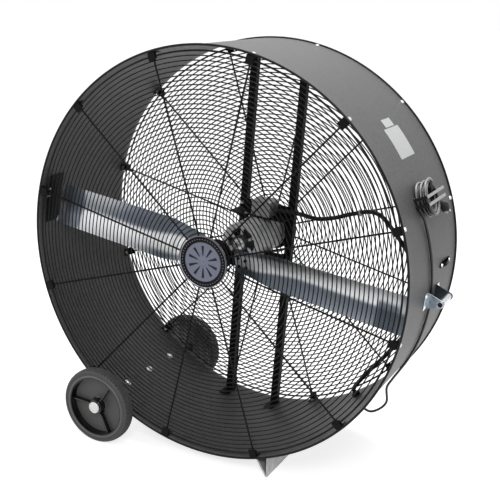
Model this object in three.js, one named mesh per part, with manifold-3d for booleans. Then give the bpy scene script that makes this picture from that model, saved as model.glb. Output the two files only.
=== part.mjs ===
// A 48-inch class drum fan: a short steel drum on two wheels and a folded foot, a wire guard over each
// mouth, and a two-blade propeller driven straight off a motor that hangs between two struts.
// Millimetres, +Z up, floor at z = 0. The drum's axis runs along Y and its mouth faces -Y.
import * as THREE from "three";
import { mergeVertices } from "three/addons/utils/BufferGeometryUtils.js";
import Module from "manifold-3d";

const wasm = await Module();
wasm.setup();

// Fits
const seatGap = 0.3;
const runGap = 0.35;

// Drum
const drumInnerRadius = 619;
const skinThickness = 2;
const drumDepth = 466;
const rimBeadRadius = 3.5;
const drumFacetCount = 72;
const groundClearance = 34.5;

// Guards
const guardRimInset = 13;
const guardHubRadius = 72;
const guardWire = 5;
const guardGapCount = 6;
const guardSpokeCount = 12;
const guardSpokePhase = 14;
const guardInset = 4;
const coarseRadius = 210;
const badgeRadius = 79;
const badgeThickness = 9;
const badgeDish = 2.5;
const badgeFaceRadius = 60;
const clipWidth = 24;
const clipPlate = 3.2;
const clipReach = 13;
const clipDepth = 32;

// Struts and motor, leaning together about the drum's axis
const frameLean = 4.4;
const strutSpacing = 176;
const strutWidth = 24;
const strutDepth = 24;
const strutWall = 3;
const strutInset = 53;
const padWidth = 34;
const padLength = 66;
const bracketWall = 3;
const bracketFlange = 34;
const bracketShelf = 74;
const bracketOverlap = 10;
const motorRadius = 65;
const motorWall = 5;
const motorReach = 180;
const frontBellLength = 48;
const shellLength = 116;
const rearBellLength = 38;
const motorFacetCount = 24;
const bossRadius = 27;
const bossReach = 14;
const ventCount = 6;
const ventInner = 31;
const ventOuter = 55;
const shaftRadius = 8;
const rotorRadius = 44;
const statorInnerRadius = 45;
const boxWidth = 66;
const boxLength = 62;
const boxHeight = 44;
const boxOffset = 12;
const boxFrontGap = 6;
const lidThickness = 5;
const lidLip = 2;

// Propeller
const propellerInset = 85;
const propellerTurn = 8.9;
const tipClearance = 17;
const bladeRootRadius = 62;
const bladeFlatEnd = 112;
const bladeRootChord = 96;
const bladeChord = 130;
const bladeFullChordRadius = 190;
const bladeThickness = 3;
const bladeCamber = 13;
const bladeRootPitch = 27;
const bladeTipPitch = 9;
const bladeStationCount = 11;
const bladeStripCount = 6;
const hubRadius = 32;
const hubLength = 66;
const hubFlangeRadius = 48;
const hubFlangeThickness = 8;
const armWidth = 46;
const armThickness = 6;
const armReach = 108;
const hubNutRadius = 13;
const hubNutThickness = 10;

// Wheels and axle
const wheelRadius = 125;
const wheelWidth = 44;
const tyreSeatRadius = 99;
const tyreShoulder = 7;
const tyreShoulderWidth = 10;
const recessRadius = 95;
const recessDepth = 24;
const webThickness = 6;
const wheelBossRadius = 24;
const wheelRibCount = 3;
const wheelRibWidth = 4;
const wheelFacetCount = 32;
const axleStandoff = 28.65;
const frontWheelGap = 15;
const rearWheelGap = 35;
const axleRadius = 8;
const axleCapRadius = 19;
const axleCapThickness = 8;
const axleCapBore = 3;
const channelWidth = 46;
const channelWall = 3;
const channelLength = 300;
const spacerRadius = 14;

// Foot
const footAngle = 20.157;
const footSheet = 3;
const footSpread = 42;
const footRidge = 6;
const footInset = 9;

// Side handle
const handleAngle = 97;
const handleFrontY = -36;
const handleRearY = 50;
const handleStandoff = 42;
const handleTubeRadius = 9.5;
const handleTubeWall = 2;
const handleTubeOverhang = 4;
const earSheet = 2.5;
const earBase = 50;
const earTip = 12;
const earFlange = 24;

// Side clip and inner plate
const sideClipAngle = 90;
const sideClipY = 112;
const sideClipLength = 92;
const sideClipWidth = 14;
const sideClipSheet = 2.5;
const sideClipHump = 8;
const sideClipHumpLength = 40;
const plateAngle = -79.5;
const plateArc = 160;
const plateInset = 72;
const plateLength = 70;
const plateThickness = 2;

// Leads
const motorLeadRadius = 7;
const leadFitting = 14;
const leadFittingRadius = 10;
const leadTieShare = 0.529;
const leadTieSpokeIndex = 2;
const leadTieWidth = 5;
const leadTieWall = 2;
const leadTieSlack = 1.2;
const glandAngle = 145;
const glandInset = 83;
const glandBodyRadius = 8;
const glandFlangeRadius = 14;
const glandInside = 12;
const glandOutside = 4;
const reliefLength = 32;
const reliefBaseRadius = 8;
const reliefTipRadius = 5.2;

// Power cord and its coil on the drum's side
const cordRadius = 4;
const coilAngle = 70;
const coilY = -40;
const coilMeanRadius = 43.5;
const coilPitch = 8.9;
const coilLayerCount = 4;
const coilTurnCount = 6.339;
const coilStartAngle = -58;
const coilStepCount = 24;
const coilSideCount = 6;
const tieSheet = 2.2;
const tieWidth = 8;
const tieSpacing = 22;
const tieTail = 48;
const tieClear = 0.5;
const hookSheet = 3;
const hookWidth = 22;
const hookLip = 20;
const plugDown = 28;
const plugAlong = 118;
const plugLead = 15;
const plugHeadingAngle = 48;
const plugLift = 1;
const plugLength = 44;
const plugWidth = 25;
const plugHeight = 24;
const bladePinLength = 17;
const bladePinWidth = 6.3;
const bladePinSheet = 1.5;
const bladePinSpacing = 12.7;
const groundPinRadius = 2.4;

// Places that follow from the sizes above
const skinRadius = drumInnerRadius + skinThickness;
const halfDepth = drumDepth / 2;
const strutY = halfDepth - strutInset;
const motorFrontY = strutY - motorReach;
const propellerY = propellerInset - halfDepth;
const plateY = plateInset - halfDepth;
const glandY = halfDepth - glandInset;
const axisHeight = skinRadius + groundClearance;
const flatFactor = Math.cos(Math.PI / drumFacetCount);
const innerSeat = drumInnerRadius * flatFactor - seatGap;
const outerSeat = skinRadius + seatGap;
const frontGuardY = -(halfDepth - guardInset - guardWire / 2);
const rearGuardY = -frontGuardY;
const spokeAngles = Array.from({ length: guardSpokeCount }, (_, k) => guardSpokePhase + (k * 360) / guardSpokeCount);
const leadTieAngle = spokeAngles[leadTieSpokeIndex];
const leadTieReach = leadTieShare * innerSeat;
const leadTieY = rearGuardY - guardWire / 2 - motorLeadRadius - 2 * seatGap;
const guardRimRadius = drumInnerRadius - guardRimInset;
const tipRadius = drumInnerRadius - tipClearance;
const frontWheelY = -(halfDepth + frontWheelGap + wheelWidth / 2);
const rearWheelY = halfDepth + rearWheelGap + wheelWidth / 2;
const footLength = drumDepth - 2 * footInset;
const wheelDrop = axisHeight - wheelRadius;
const axleDistance = skinRadius + axleStandoff;
const wheelX = -Math.sqrt(axleDistance ** 2 - wheelDrop ** 2);
const axleAngle = THREE.MathUtils.radToDeg(Math.atan2(wheelX, -wheelDrop));
const footX = skinRadius * Math.sin((footAngle * Math.PI) / 180);
const coilHalfWidth = (coilPitch * coilTurnCount) / coilLayerCount / 2;
const coilFirstHeight = outerSeat + tieSheet + tieClear + cordRadius + seatGap;
const coilTopHeight = coilFirstHeight + (coilLayerCount - 1) * coilPitch;
const plugCentre = outerSeat + plugHeight / 2 + plugLift;
const shellFrontY = motorFrontY + frontBellLength;
const shellRearY = shellFrontY + shellLength;
const strutFrontY = strutY - strutDepth / 2;
const shelfHeight = motorRadius + seatGap;
const boxBase = shelfHeight + bracketWall + seatGap;
const flangeFrontY = strutFrontY - seatGap - bracketWall;
const boxRearY = flangeFrontY - boxFrontGap;
const boxMidY = boxRearY - boxLength / 2;

const X_AXIS = new THREE.Vector3(1, 0, 0);
const Y_AXIS = new THREE.Vector3(0, 1, 0);
const Z_AXIS = new THREE.Vector3(0, 0, 1);
const radians = THREE.MathUtils.degToRad;

// Finishes
const finish = (color, roughness, metalness) =>
  new THREE.MeshStandardMaterial({ color, roughness, metalness });
const drumPaint = finish(0x4a4a4c, 0.75, 0.1);
const guardPaint = finish(0x111112, 0.5, 0.2);
const blackSteel = finish(0x18181a, 0.55, 0.3);
const zincSteel = finish(0x9fb0bf, 0.4, 0.9);
const bladeMetal = finish(0xb9bfc6, 0.3, 0.9);
const motorPaint = finish(0x77787a, 0.6, 0.2);
const shaftSteel = finish(0xb0b0b2, 0.3, 1);
const copperCore = finish(0x8a5a35, 0.5, 0.8);
const badgeBlue = finish(0x787d92, 0.5, 0.2);
const wheelPlastic = finish(0x3d3e40, 0.6, 0);
const tyreRubber = finish(0x2c2c2e, 0.85, 0);
const capZinc = finish(0xe6e8ea, 0.35, 0.5);
const cordRubber = finish(0x141414, 0.6, 0);
const tieNylon = finish(0xb4b4b4, 0.7, 0);
const tieWhite = finish(0xd8d8d4, 0.5, 0);

// A closed solid for cutting and joining.
function solidOf(geometry) {
  const bare = new THREE.BufferGeometry();
  bare.setAttribute("position", geometry.getAttribute("position"));
  if (geometry.index) bare.setIndex(geometry.index);
  const merged = mergeVertices(bare, 1e-4);
  return new wasm.Manifold(
    new wasm.Mesh({
      numProp: 3,
      vertProperties: merged.attributes.position.array,
      triVerts: new Uint32Array(merged.index.array),
    }),
  );
}

// The solid's surface as a three.js geometry.
function geometryOf(solid) {
  const mesh = solid.getMesh();
  const geometry = new THREE.BufferGeometry();
  geometry.setAttribute("position", new THREE.BufferAttribute(mesh.vertProperties, 3));
  geometry.setIndex(new THREE.BufferAttribute(mesh.triVerts, 1));
  return geometry;
}

function join(...geometries) {
  const solids = geometries.map(solidOf);
  return geometryOf(solids.reduce((whole, next) => whole.add(next)));
}

function cut(base, ...tools) {
  return geometryOf(tools.map(solidOf).reduce((left, tool) => left.subtract(tool), solidOf(base)));
}

function common(first, second) {
  return geometryOf(solidOf(first).intersect(solidOf(second)));
}

// An outline through the given corners.
function outline(corners) {
  return new THREE.Shape(corners.map(([a, b]) => new THREE.Vector2(a, b)));
}

// A profile in (x, z), extruded from y0 to y1.
function extrudeAlongY(shape, y0, y1) {
  const geometry = new THREE.ExtrudeGeometry(shape, { depth: y1 - y0, bevelEnabled: false });
  return geometry.rotateX(Math.PI / 2).translate(0, y1, 0);
}

// A profile in (y, z), extruded from x0 to x1.
function extrudeAlongX(shape, x0, x1) {
  const geometry = new THREE.ExtrudeGeometry(shape, { depth: x1 - x0, bevelEnabled: false });
  const turn = new THREE.Matrix4().makeBasis(Y_AXIS, Z_AXIS, X_AXIS);
  return geometry.applyMatrix4(turn).translate(x0, 0, 0);
}

// A closed profile of (radius, y) corners, turned about Y.
function turned(corners, facets) {
  const points = corners.map(([radius, y]) => new THREE.Vector2(radius, y));
  const first = points[0];
  const closed = first.x > 0 ? [...points, first.clone()] : points;
  return new THREE.LatheGeometry(closed, facets);
}

// A disc or ring about Y between two planes.
function ring(inner, outer, y0, y1, facets) {
  if (inner === 0) {
    return turned([[0, y0], [outer, y0], [outer, y1], [0, y1]], facets);
  }
  return turned([[inner, y0], [outer, y0], [outer, y1], [inner, y1]], facets);
}

function box(x0, x1, y0, y1, z0, z1) {
  const geometry = new THREE.BoxGeometry(x1 - x0, y1 - y0, z1 - z0);
  return geometry.translate((x0 + x1) / 2, (y0 + y1) / 2, (z0 + z1) / 2);
}

// A round bar along Z.
function post(radius, z0, z1, facets) {
  const geometry = ring(0, radius, z0, z1, facets);
  return geometry.rotateX(Math.PI / 2);
}

// A regular section swept along a curve.
function tube(curve, radius, sides, steps) {
  const section = outline(
    Array.from({ length: sides }, (_, k) => {
      const angle = (2 * Math.PI * k) / sides;
      return [radius * Math.cos(angle), radius * Math.sin(angle)];
    }),
  );
  return new THREE.ExtrudeGeometry(section, { steps, extrudePath: curve });
}

function piece(name, geometry, material, parent, angle = 0) {
  const mesh = new THREE.Mesh(geometry, material);
  mesh.name = name;
  mesh.rotation.y = radians(angle);
  parent.add(mesh);
  return mesh;
}

// A point by its angle from the top towards +X, its place along the drum and its distance from the axis.
function aroundDrum(angle, y, radius) {
  return new THREE.Vector3(
    radius * Math.sin(radians(angle)),
    y,
    radius * Math.cos(radians(angle)),
  );
}

// A curved plate that follows the drum: x along the arc, z outwards from the axis.
function arcPlate(arc, y0, y1, low, high) {
  const steps = 6;
  const half = arc / (low + high);
  const edge = (radius, side) =>
    Array.from({ length: steps + 1 }, (_, k) => {
      const angle = side * half * (1 - (2 * k) / steps);
      return [radius * Math.sin(angle), radius * Math.cos(angle)];
    });
  return extrudeAlongY(outline([...edge(low, -1), ...edge(high, 1)]), y0, y1);
}

// The drum: a thin skin with a bead rolled outwards at each mouth and a hole for the cord's bush.
function makeDrum() {
  const beadY = halfDepth - rimBeadRadius;
  const beadX = drumInnerRadius + rimBeadRadius;
  const bead = (side, from, to) =>
    [0, 1, 2, 3].map((k) => {
      const angle = radians(from + ((to - from) * k) / 3);
      return [beadX + rimBeadRadius * Math.cos(angle), side * beadY + rimBeadRadius * Math.sin(angle)];
    });
  const profile = [
    ...bead(-1, 180, 360),
    [skinRadius, -beadY + rimBeadRadius],
    [skinRadius, beadY - rimBeadRadius],
    ...bead(1, 0, 180),
  ];
  const hole = post(glandBodyRadius + seatGap, drumInnerRadius - 20, skinRadius + 20, 16);
  hole.translate(0, glandY, 0).rotateY(radians(glandAngle));
  return cut(turned(profile, drumFacetCount), hole);
}

// A flat net of rings and spokes, with a plate in its middle.
function makeGuard(y) {
  const sector = 360 / guardSpokeCount;
  const pitch = (guardRimRadius - guardHubRadius) / guardGapCount;
  const half = guardWire / 2;
  const rimSteps = 3;
  const corner = (radius, angle) => [
    radius * Math.sin(radians(angle)),
    radius * Math.cos(radians(angle)),
  ];
  const rim = Array.from({ length: guardSpokeCount * rimSteps }, (_, k) =>
    corner(guardRimRadius + half, guardSpokePhase + (k * sector) / rimSteps),
  );
  const net = outline(rim);
  const arc = (radius, start, steps) => {
    const trim = THREE.MathUtils.radToDeg(Math.asin(half / radius));
    return Array.from({ length: steps + 1 }, (_, k) => {
      const inset = k === 0 ? trim : k === steps ? -trim : 0;
      return corner(radius, start + (k * sector) / steps + inset);
    });
  };
  for (let gap = 0; gap < guardGapCount; gap += 1) {
    const inner = guardHubRadius + gap * pitch + half;
    const outer = guardHubRadius + (gap + 1) * pitch - half;
    const steps = outer < coarseRadius ? 2 : rimSteps;
    for (let spoke = 0; spoke < guardSpokeCount; spoke += 1) {
      const start = guardSpokePhase + spoke * sector;
      const hole = [...arc(inner, start, steps), ...arc(outer, start, steps).reverse()];
      net.holes.push(new THREE.Path(hole.map(([a, b]) => new THREE.Vector2(a, b))));
    }
  }
  return extrudeAlongY(net, y - half, y + half);
}

// A sheet clip that grips the front guard's rim and lies along the drum's skin.
function makeClip() {
  const guardFace = frontGuardY - guardWire / 2 - seatGap;
  const guardBack = frontGuardY + guardWire / 2 + seatGap;
  const tip = guardRimRadius + guardWire / 2 - clipReach;
  const leg = innerSeat - clipPlate;
  const front = guardFace - clipPlate;
  const shape = outline([
    [front, innerSeat],
    [front, tip],
    [guardFace, tip],
    [guardFace, leg],
    [guardBack, leg],
    [guardBack, tip],
    [guardBack + clipPlate, tip],
    [guardBack + clipPlate, leg],
    [front + clipDepth, leg],
    [front + clipDepth, innerSeat],
  ]);
  return extrudeAlongX(shape, -clipWidth / 2, clipWidth / 2);
}

// The rear guard: the same net, with a lug welded to its rim at each spoke.
function makeRearGuard() {
  const half = guardWire / 2 + clipPlate;
  const lugs = spokeAngles.map((angle) => {
    const tip = guardRimRadius + guardWire / 2 - clipReach;
    const lug = box(-clipWidth / 2, clipWidth / 2, rearGuardY - half, rearGuardY + half, tip, innerSeat);
    return lug.rotateY(radians(angle));
  });
  return join(makeGuard(rearGuardY), ...lugs);
}

// A round badge with a raised rim and a shallow dished face.
function makeBadge() {
  const back = frontGuardY - guardWire / 2 - seatGap;
  const front = back - badgeThickness;
  const profile = [
    [0, front + badgeDish],
    [badgeFaceRadius, front + badgeDish],
    [badgeFaceRadius + badgeDish, front],
    [badgeRadius - badgeDish, front],
    [badgeRadius, front + badgeDish],
    [badgeRadius, back],
    [0, back],
  ];
  return turned(profile, drumFacetCount / 2);
}

// A channel strut from skin to skin, with a pad at each end that lies on the skin.
function makeStrut(side) {
  const x = (side * strutSpacing) / 2;
  const left = x - strutWidth / 2;
  const right = x + strutWidth / 2;
  const back = strutY + strutDepth / 2;
  const bar = cut(
    box(left, right, strutFrontY, back, -skinRadius, skinRadius),
    box(left + strutWall, right - strutWall, strutFrontY + strutWall, back + 1, -skinRadius - 1, skinRadius + 1),
  );
  const bore = ring(0, innerSeat, -halfDepth, halfDepth, drumFacetCount);
  const skin = ring(innerSeat - strutWall, innerSeat, -halfDepth, halfDepth, drumFacetCount);
  const padFront = back - padLength;
  const pads = box(x - padWidth / 2, x + padWidth / 2, padFront, back, -skinRadius, skinRadius);
  return join(common(bar, bore), common(skin, pads));
}

// An angle across both struts: a flange on their faces and a shelf that lies on the motor.
function makeMotorBracket(side) {
  const halfWidth = strutSpacing / 2 + bracketOverlap;
  const low = shelfHeight;
  const profile = outline([
    [flangeFrontY + bracketWall, side * low],
    [flangeFrontY + bracketWall, side * (low + bracketFlange)],
    [flangeFrontY, side * (low + bracketFlange)],
    [flangeFrontY, side * (low + bracketWall)],
    [flangeFrontY - bracketShelf, side * (low + bracketWall)],
    [flangeFrontY - bracketShelf, side * low],
  ]);
  return extrudeAlongX(profile, -halfWidth, halfWidth);
}

function makeMotorShell() {
  const y0 = shellFrontY + seatGap;
  const y1 = shellRearY - seatGap;
  return ring(motorRadius - motorWall, motorRadius, y0, y1, motorFacetCount);
}

// The front bell: a cup whose face has vents around the shaft's boss.
function makeFrontBell() {
  const cup = turned(
    [
      [shaftRadius + runGap, motorFrontY - bossReach],
      [bossRadius, motorFrontY - bossReach],
      [bossRadius, motorFrontY],
      [motorRadius - motorWall, motorFrontY],
      [motorRadius, motorFrontY + motorWall],
      [motorRadius, shellFrontY],
      [motorRadius - motorWall, shellFrontY],
      [motorRadius - motorWall, motorFrontY + motorWall],
      [shaftRadius + runGap, motorFrontY + motorWall],
    ],
    motorFacetCount,
  );
  const vents = Array.from({ length: ventCount }, (_, k) => {
    const vent = box(
      -ventInner / 3,
      ventInner / 3,
      motorFrontY - 1,
      motorFrontY + motorWall + 1,
      ventInner,
      ventOuter,
    );
    return vent.rotateY((2 * Math.PI * (k + 0.5)) / ventCount);
  });
  return cut(cup, ...vents);
}

// The rear bell: a shallow cap over the shell's end.
function makeRearBell() {
  const end = shellRearY + rearBellLength;
  const step = rearBellLength / 3;
  return turned(
    [
      [0, shellRearY + motorWall],
      [motorRadius - motorWall, shellRearY + motorWall],
      [motorRadius - motorWall, shellRearY],
      [motorRadius, shellRearY],
      [motorRadius, end - step],
      [motorRadius - step, end],
      [0, end],
    ],
    motorFacetCount,
  );
}

function makeStator() {
  const outer = (motorRadius - motorWall) * Math.cos(Math.PI / motorFacetCount) - seatGap;
  return ring(statorInnerRadius, outer, shellFrontY + 12, shellRearY - 12, motorFacetCount);
}

function makeRotor() {
  const bore = shaftRadius + seatGap;
  return ring(bore, rotorRadius - seatGap, shellFrontY + 12, shellRearY - 12, motorFacetCount);
}

// The shaft: from the hub nut to the rear end of the rotor.
function makeShaft() {
  const front = propellerY - hubLength / 2 - seatGap;
  return ring(0, shaftRadius, front, shellFrontY + shellLength - seatGap, 16);
}

// The terminal box on the shelf over the motor, open at the top.
function makeTerminalBox() {
  const top = boxBase + boxHeight;
  const outside = box(
    boxOffset - boxWidth / 2,
    boxOffset + boxWidth / 2,
    boxMidY - boxLength / 2,
    boxMidY + boxLength / 2,
    boxBase,
    top,
  );
  const inside = box(
    boxOffset - boxWidth / 2 + bracketWall,
    boxOffset + boxWidth / 2 - bracketWall,
    boxMidY - boxLength / 2 + bracketWall,
    boxMidY + boxLength / 2 - bracketWall,
    boxBase + bracketWall,
    top + 1,
  );
  return cut(outside, inside);
}

function makeTerminalLid() {
  const base = boxBase + boxHeight + seatGap;
  return box(
    boxOffset - boxWidth / 2 - lidLip,
    boxOffset + boxWidth / 2 + lidLip,
    boxMidY - boxLength / 2 - lidLip,
    boxMidY + boxLength / 2 + lidLip,
    base,
    base + lidThickness,
  );
}

// The threaded fitting in the box's side that the motor lead starts from.
function makeLeadFitting() {
  const start = boxOffset + boxWidth / 2 + seatGap;
  const fitting = ring(0, leadFittingRadius, start, start + leadFitting, 12);
  const z = boxBase + boxHeight / 2;
  return fitting.rotateZ(-Math.PI / 2).translate(0, boxMidY, z);
}

// The hub: a barrel on the shaft, a flange and two arms at the blades' root pitch.
function makeHub() {
  const y0 = propellerY - hubLength / 2;
  const y1 = propellerY + hubLength / 2;
  const rear = bladeThickness / 2 + seatGap;
  const barrel = ring(0, hubRadius, y0, y1, motorFacetCount);
  const flange = ring(0, hubFlangeRadius, propellerY - hubFlangeThickness / 2, propellerY + hubFlangeThickness / 2, motorFacetCount);
  const arms = [0, 180].map((turn) => {
    const arm = box(0, armReach, rear, rear + armThickness, -armWidth / 2, armWidth / 2);
    return arm.rotateX(radians(bladeRootPitch)).translate(0, propellerY, 0).rotateY(radians(turn));
  });
  const bore = ring(0, shaftRadius + seatGap, y0 - 1, y1 + 1, 16);
  return cut(join(barrel, flange, ...arms), bore);
}

function makeHubNut() {
  const base = propellerY - hubLength / 2 - 2 * seatGap;
  return ring(0, hubNutRadius, base - hubNutThickness, base, 6);
}

// One blade along +X: its chord turns from the root pitch to the tip pitch, and it bows towards the motor.
function makeBlade() {
  const positions = [];
  const faces = [];
  const perStation = 2 * (bladeStripCount + 1);
  for (let station = 0; station < bladeStationCount; station += 1) {
    const span = Math.max(station - 1, 0) / (bladeStationCount - 2);
    const x = station ? bladeFlatEnd + (tipRadius - bladeFlatEnd) * span : bladeRootRadius;
    const grown = THREE.MathUtils.smoothstep(x, bladeRootRadius, bladeFullChordRadius);
    const chord = bladeRootChord + (bladeChord - bladeRootChord) * grown;
    const pitch = radians(bladeRootPitch + (bladeTipPitch - bladeRootPitch) * span ** 0.75);
    const bow = bladeCamber * THREE.MathUtils.smoothstep(x, bladeFlatEnd, bladeFullChordRadius);
    for (const skin of [-1, 1]) {
      for (let k = 0; k <= bladeStripCount; k += 1) {
        const across = (k / bladeStripCount - 0.5) * chord;
        const out = bow * (1 - (2 * k / bladeStripCount - 1) ** 2) + (skin * bladeThickness) / 2;
        positions.push(
          x * Math.sqrt(1 - (across / (2 * tipRadius)) ** 2),
          out * Math.cos(pitch) - across * Math.sin(pitch),
          out * Math.sin(pitch) + across * Math.cos(pitch),
        );
      }
    }
  }
  const loop = [];
  for (let k = 0; k <= bladeStripCount; k += 1) loop.push(k);
  for (let k = bladeStripCount; k >= 0; k -= 1) loop.push(bladeStripCount + 1 + k);
  for (let station = 0; station < bladeStationCount - 1; station += 1) {
    const here = station * perStation;
    const next = here + perStation;
    for (let k = 0; k < perStation; k += 1) {
      const a = loop[k];
      const b = loop[(k + 1) % perStation];
      faces.push(here + a, next + a, next + b, here + a, next + b, here + b);
    }
  }
  const last = (bladeStationCount - 1) * perStation;
  for (let k = 0; k < bladeStripCount; k += 1) {
    const other = bladeStripCount + 1 + k;
    faces.push(k, k + 1, other + 1, k, other + 1, other);
    faces.push(last + k, last + other + 1, last + k + 1, last + k, last + other, last + other + 1);
  }
  const geometry = new THREE.BufferGeometry();
  geometry.setAttribute("position", new THREE.Float32BufferAttribute(positions, 3));
  geometry.setIndex(faces);
  return geometry.translate(0, propellerY, 0);
}

// A moulded wheel: boss, web, rim and ribs in its deep outer recess; side is -1 when that faces front.
function makeWheel(y, side) {
  const face = wheelWidth / 2;
  const web = face - recessDepth;
  const bore = axleRadius + runGap;
  const corners = [
    [bore, -face],
    [wheelBossRadius, -face],
    [wheelBossRadius, web - webThickness],
    [recessRadius, web - webThickness],
    [recessRadius, -face],
    [tyreSeatRadius, -face],
    [tyreSeatRadius, face],
    [recessRadius, face],
    [recessRadius, web],
    [wheelBossRadius, web],
    [wheelBossRadius, face],
    [bore, face],
  ];
  const body = turned(corners, wheelFacetCount);
  const ribs = Array.from({ length: wheelRibCount }, (_, k) => {
    const rib = box(wheelBossRadius - 2, recessRadius + 1, web - 1, face - 3, -wheelRibWidth / 2, wheelRibWidth / 2);
    return rib.rotateY((2 * Math.PI * k) / wheelRibCount + radians(5));
  });
  const whole = join(body, ...ribs);
  return (side < 0 ? whole.rotateX(Math.PI) : whole).translate(0, y, 0);
}

function makeTyre(y) {
  const face = wheelWidth / 2;
  const seat = tyreSeatRadius + seatGap;
  const corners = [
    [seat, -face],
    [wheelRadius - tyreShoulder, -face],
    [wheelRadius, -face + tyreShoulderWidth],
    [wheelRadius, face - tyreShoulderWidth],
    [wheelRadius - tyreShoulder, face],
    [seat, face],
  ];
  return turned(corners, wheelFacetCount).translate(0, y, 0);
}

// The axle: one rod through both wheels, with a collar that keeps each wheel off the drum.
function makeAxle() {
  const frontEnd = frontWheelY - wheelWidth / 2 - axleCapThickness + axleCapBore;
  const rearEnd = rearWheelY + wheelWidth / 2 + axleCapThickness - axleCapBore;
  const rod = ring(0, axleRadius, frontEnd, rearEnd, 16);
  const frontCollar = ring(0, spacerRadius, frontWheelY + wheelWidth / 2 + runGap, -channelLength / 2 - seatGap, 16);
  const rearCollar = ring(0, spacerRadius, channelLength / 2 + seatGap, rearWheelY - wheelWidth / 2 - runGap, 16);
  return join(rod, frontCollar, rearCollar);
}

// A pressed cap on the axle's end; side is -1 in front.
function makeAxleCap(y, side) {
  const inner = wheelWidth / 2 + runGap;
  const outer = wheelWidth / 2 + axleCapThickness;
  const pocket = axleRadius + seatGap;
  const floor = outer - axleCapBore + seatGap;
  const corners = [
    [pocket, inner],
    [axleCapRadius, inner],
    [axleCapRadius, outer - 2],
    [axleCapRadius - 4, outer],
    [0, outer],
    [0, floor],
    [pocket, floor],
  ];
  const points = [...corners, corners[0]].map(([radius, at]) => new THREE.Vector2(radius, at));
  const cap = new THREE.LatheGeometry(points, 20);
  return (side < 0 ? cap.rotateX(Math.PI) : cap).translate(0, y, 0);
}

// The axle's channel: it saddles the drum's skin and holds the rod in its two end plates.
function makeAxleChannel() {
  const half = channelWidth / 2;
  const depth = axleDistance + spacerRadius;
  const end = channelLength / 2;
  const block = box(-half, half, -end, end, skinRadius - 10, depth);
  const hollow = box(
    -half + channelWall,
    half - channelWall,
    -end + channelWall,
    end - channelWall,
    outerSeat + channelWall,
    depth + 1,
  );
  const skin = ring(0, outerSeat, -end - 1, end + 1, drumFacetCount).rotateY(-radians(axleAngle));
  const bore = ring(0, axleRadius + seatGap, -end - 1, end + 1, 16).translate(0, 0, axleDistance);
  return cut(block, skin, hollow, bore);
}

// The foot: one sheet folded to a V whose ridge stands on the floor.
function makeFoot() {
  const floor = -axisHeight;
  const top = -skinRadius * 0.9;
  const left = footX - footSpread;
  const leftTop = -Math.sqrt(outerSeat ** 2 - left ** 2);
  const slope = (footX - footRidge - left) / (floor - leftTop);
  const outside = outline([
    [footX, floor],
    [footX, top],
    [footX - footSheet, top],
    [footX - footSheet, floor + 2 * footSheet],
    [left + footSheet * 1.6 + slope * (top - leftTop), top],
    [left + slope * (top - leftTop), top],
    [footX - footRidge, floor],
  ]);
  const bar = extrudeAlongY(outside, -footLength / 2, footLength / 2);
  return cut(bar, ring(0, outerSeat, -halfDepth - 1, halfDepth + 1, drumFacetCount));
}

// A handle ear: a plate that stands off the drum, with a flange that lies on the skin.
function makeEar(y, side) {
  const tubeHeight = skinRadius + handleStandoff;
  const base = outerSeat;
  const plate = extrudeAlongY(
    outline([
      [-earBase / 2, base - 1],
      [earBase / 2, base - 1],
      [earTip, tubeHeight + earTip / 2],
      [earTip / 2, tubeHeight + earTip],
      [-earTip / 2, tubeHeight + earTip],
      [-earTip, tubeHeight + earTip / 2],
    ]),
    y - earSheet / 2,
    y + earSheet / 2,
  );
  const flange = side < 0
    ? arcPlate(earBase, y - earFlange, y + earSheet / 2, base, base + earSheet)
    : arcPlate(earBase, y - earSheet / 2, y + earFlange, base, base + earSheet);
  const skin = ring(0, base, y - earFlange - 1, y + earFlange + 1, drumFacetCount).rotateY(-radians(handleAngle));
  const bore = ring(0, handleTubeRadius + seatGap, y - earSheet, y + earSheet, 20);
  return cut(join(plate, flange), skin, bore.translate(0, 0, tubeHeight));
}

function makeHandleTube() {
  const y0 = handleFrontY - handleTubeOverhang;
  const y1 = handleRearY + handleTubeOverhang;
  const inner = handleTubeRadius - handleTubeWall;
  return ring(inner, handleTubeRadius, y0, y1, 20).translate(0, 0, skinRadius + handleStandoff);
}

// A strap with a raised middle, screwed to the skin at both ends.
function makeSideClip() {
  const low = outerSeat;
  const high = low + sideClipSheet;
  const half = sideClipLength / 2;
  const hump = sideClipHumpLength / 2;
  const shape = outline([
    [-half, low],
    [-hump, low],
    [-hump + sideClipHump, low + sideClipHump],
    [hump - sideClipHump, low + sideClipHump],
    [hump, low],
    [half, low],
    [half, high],
    [hump, high],
    [hump - sideClipHump, high + sideClipHump],
    [-hump + sideClipHump, high + sideClipHump],
    [-hump, high],
    [-half, high],
  ]);
  return extrudeAlongX(shape, -sideClipWidth / 2, sideClipWidth / 2).translate(0, sideClipY, 0);
}

function makeInnerPlate() {
  const y0 = plateY - plateLength / 2;
  return arcPlate(plateArc, y0, y0 + plateLength, innerSeat - plateThickness, innerSeat);
}

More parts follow.
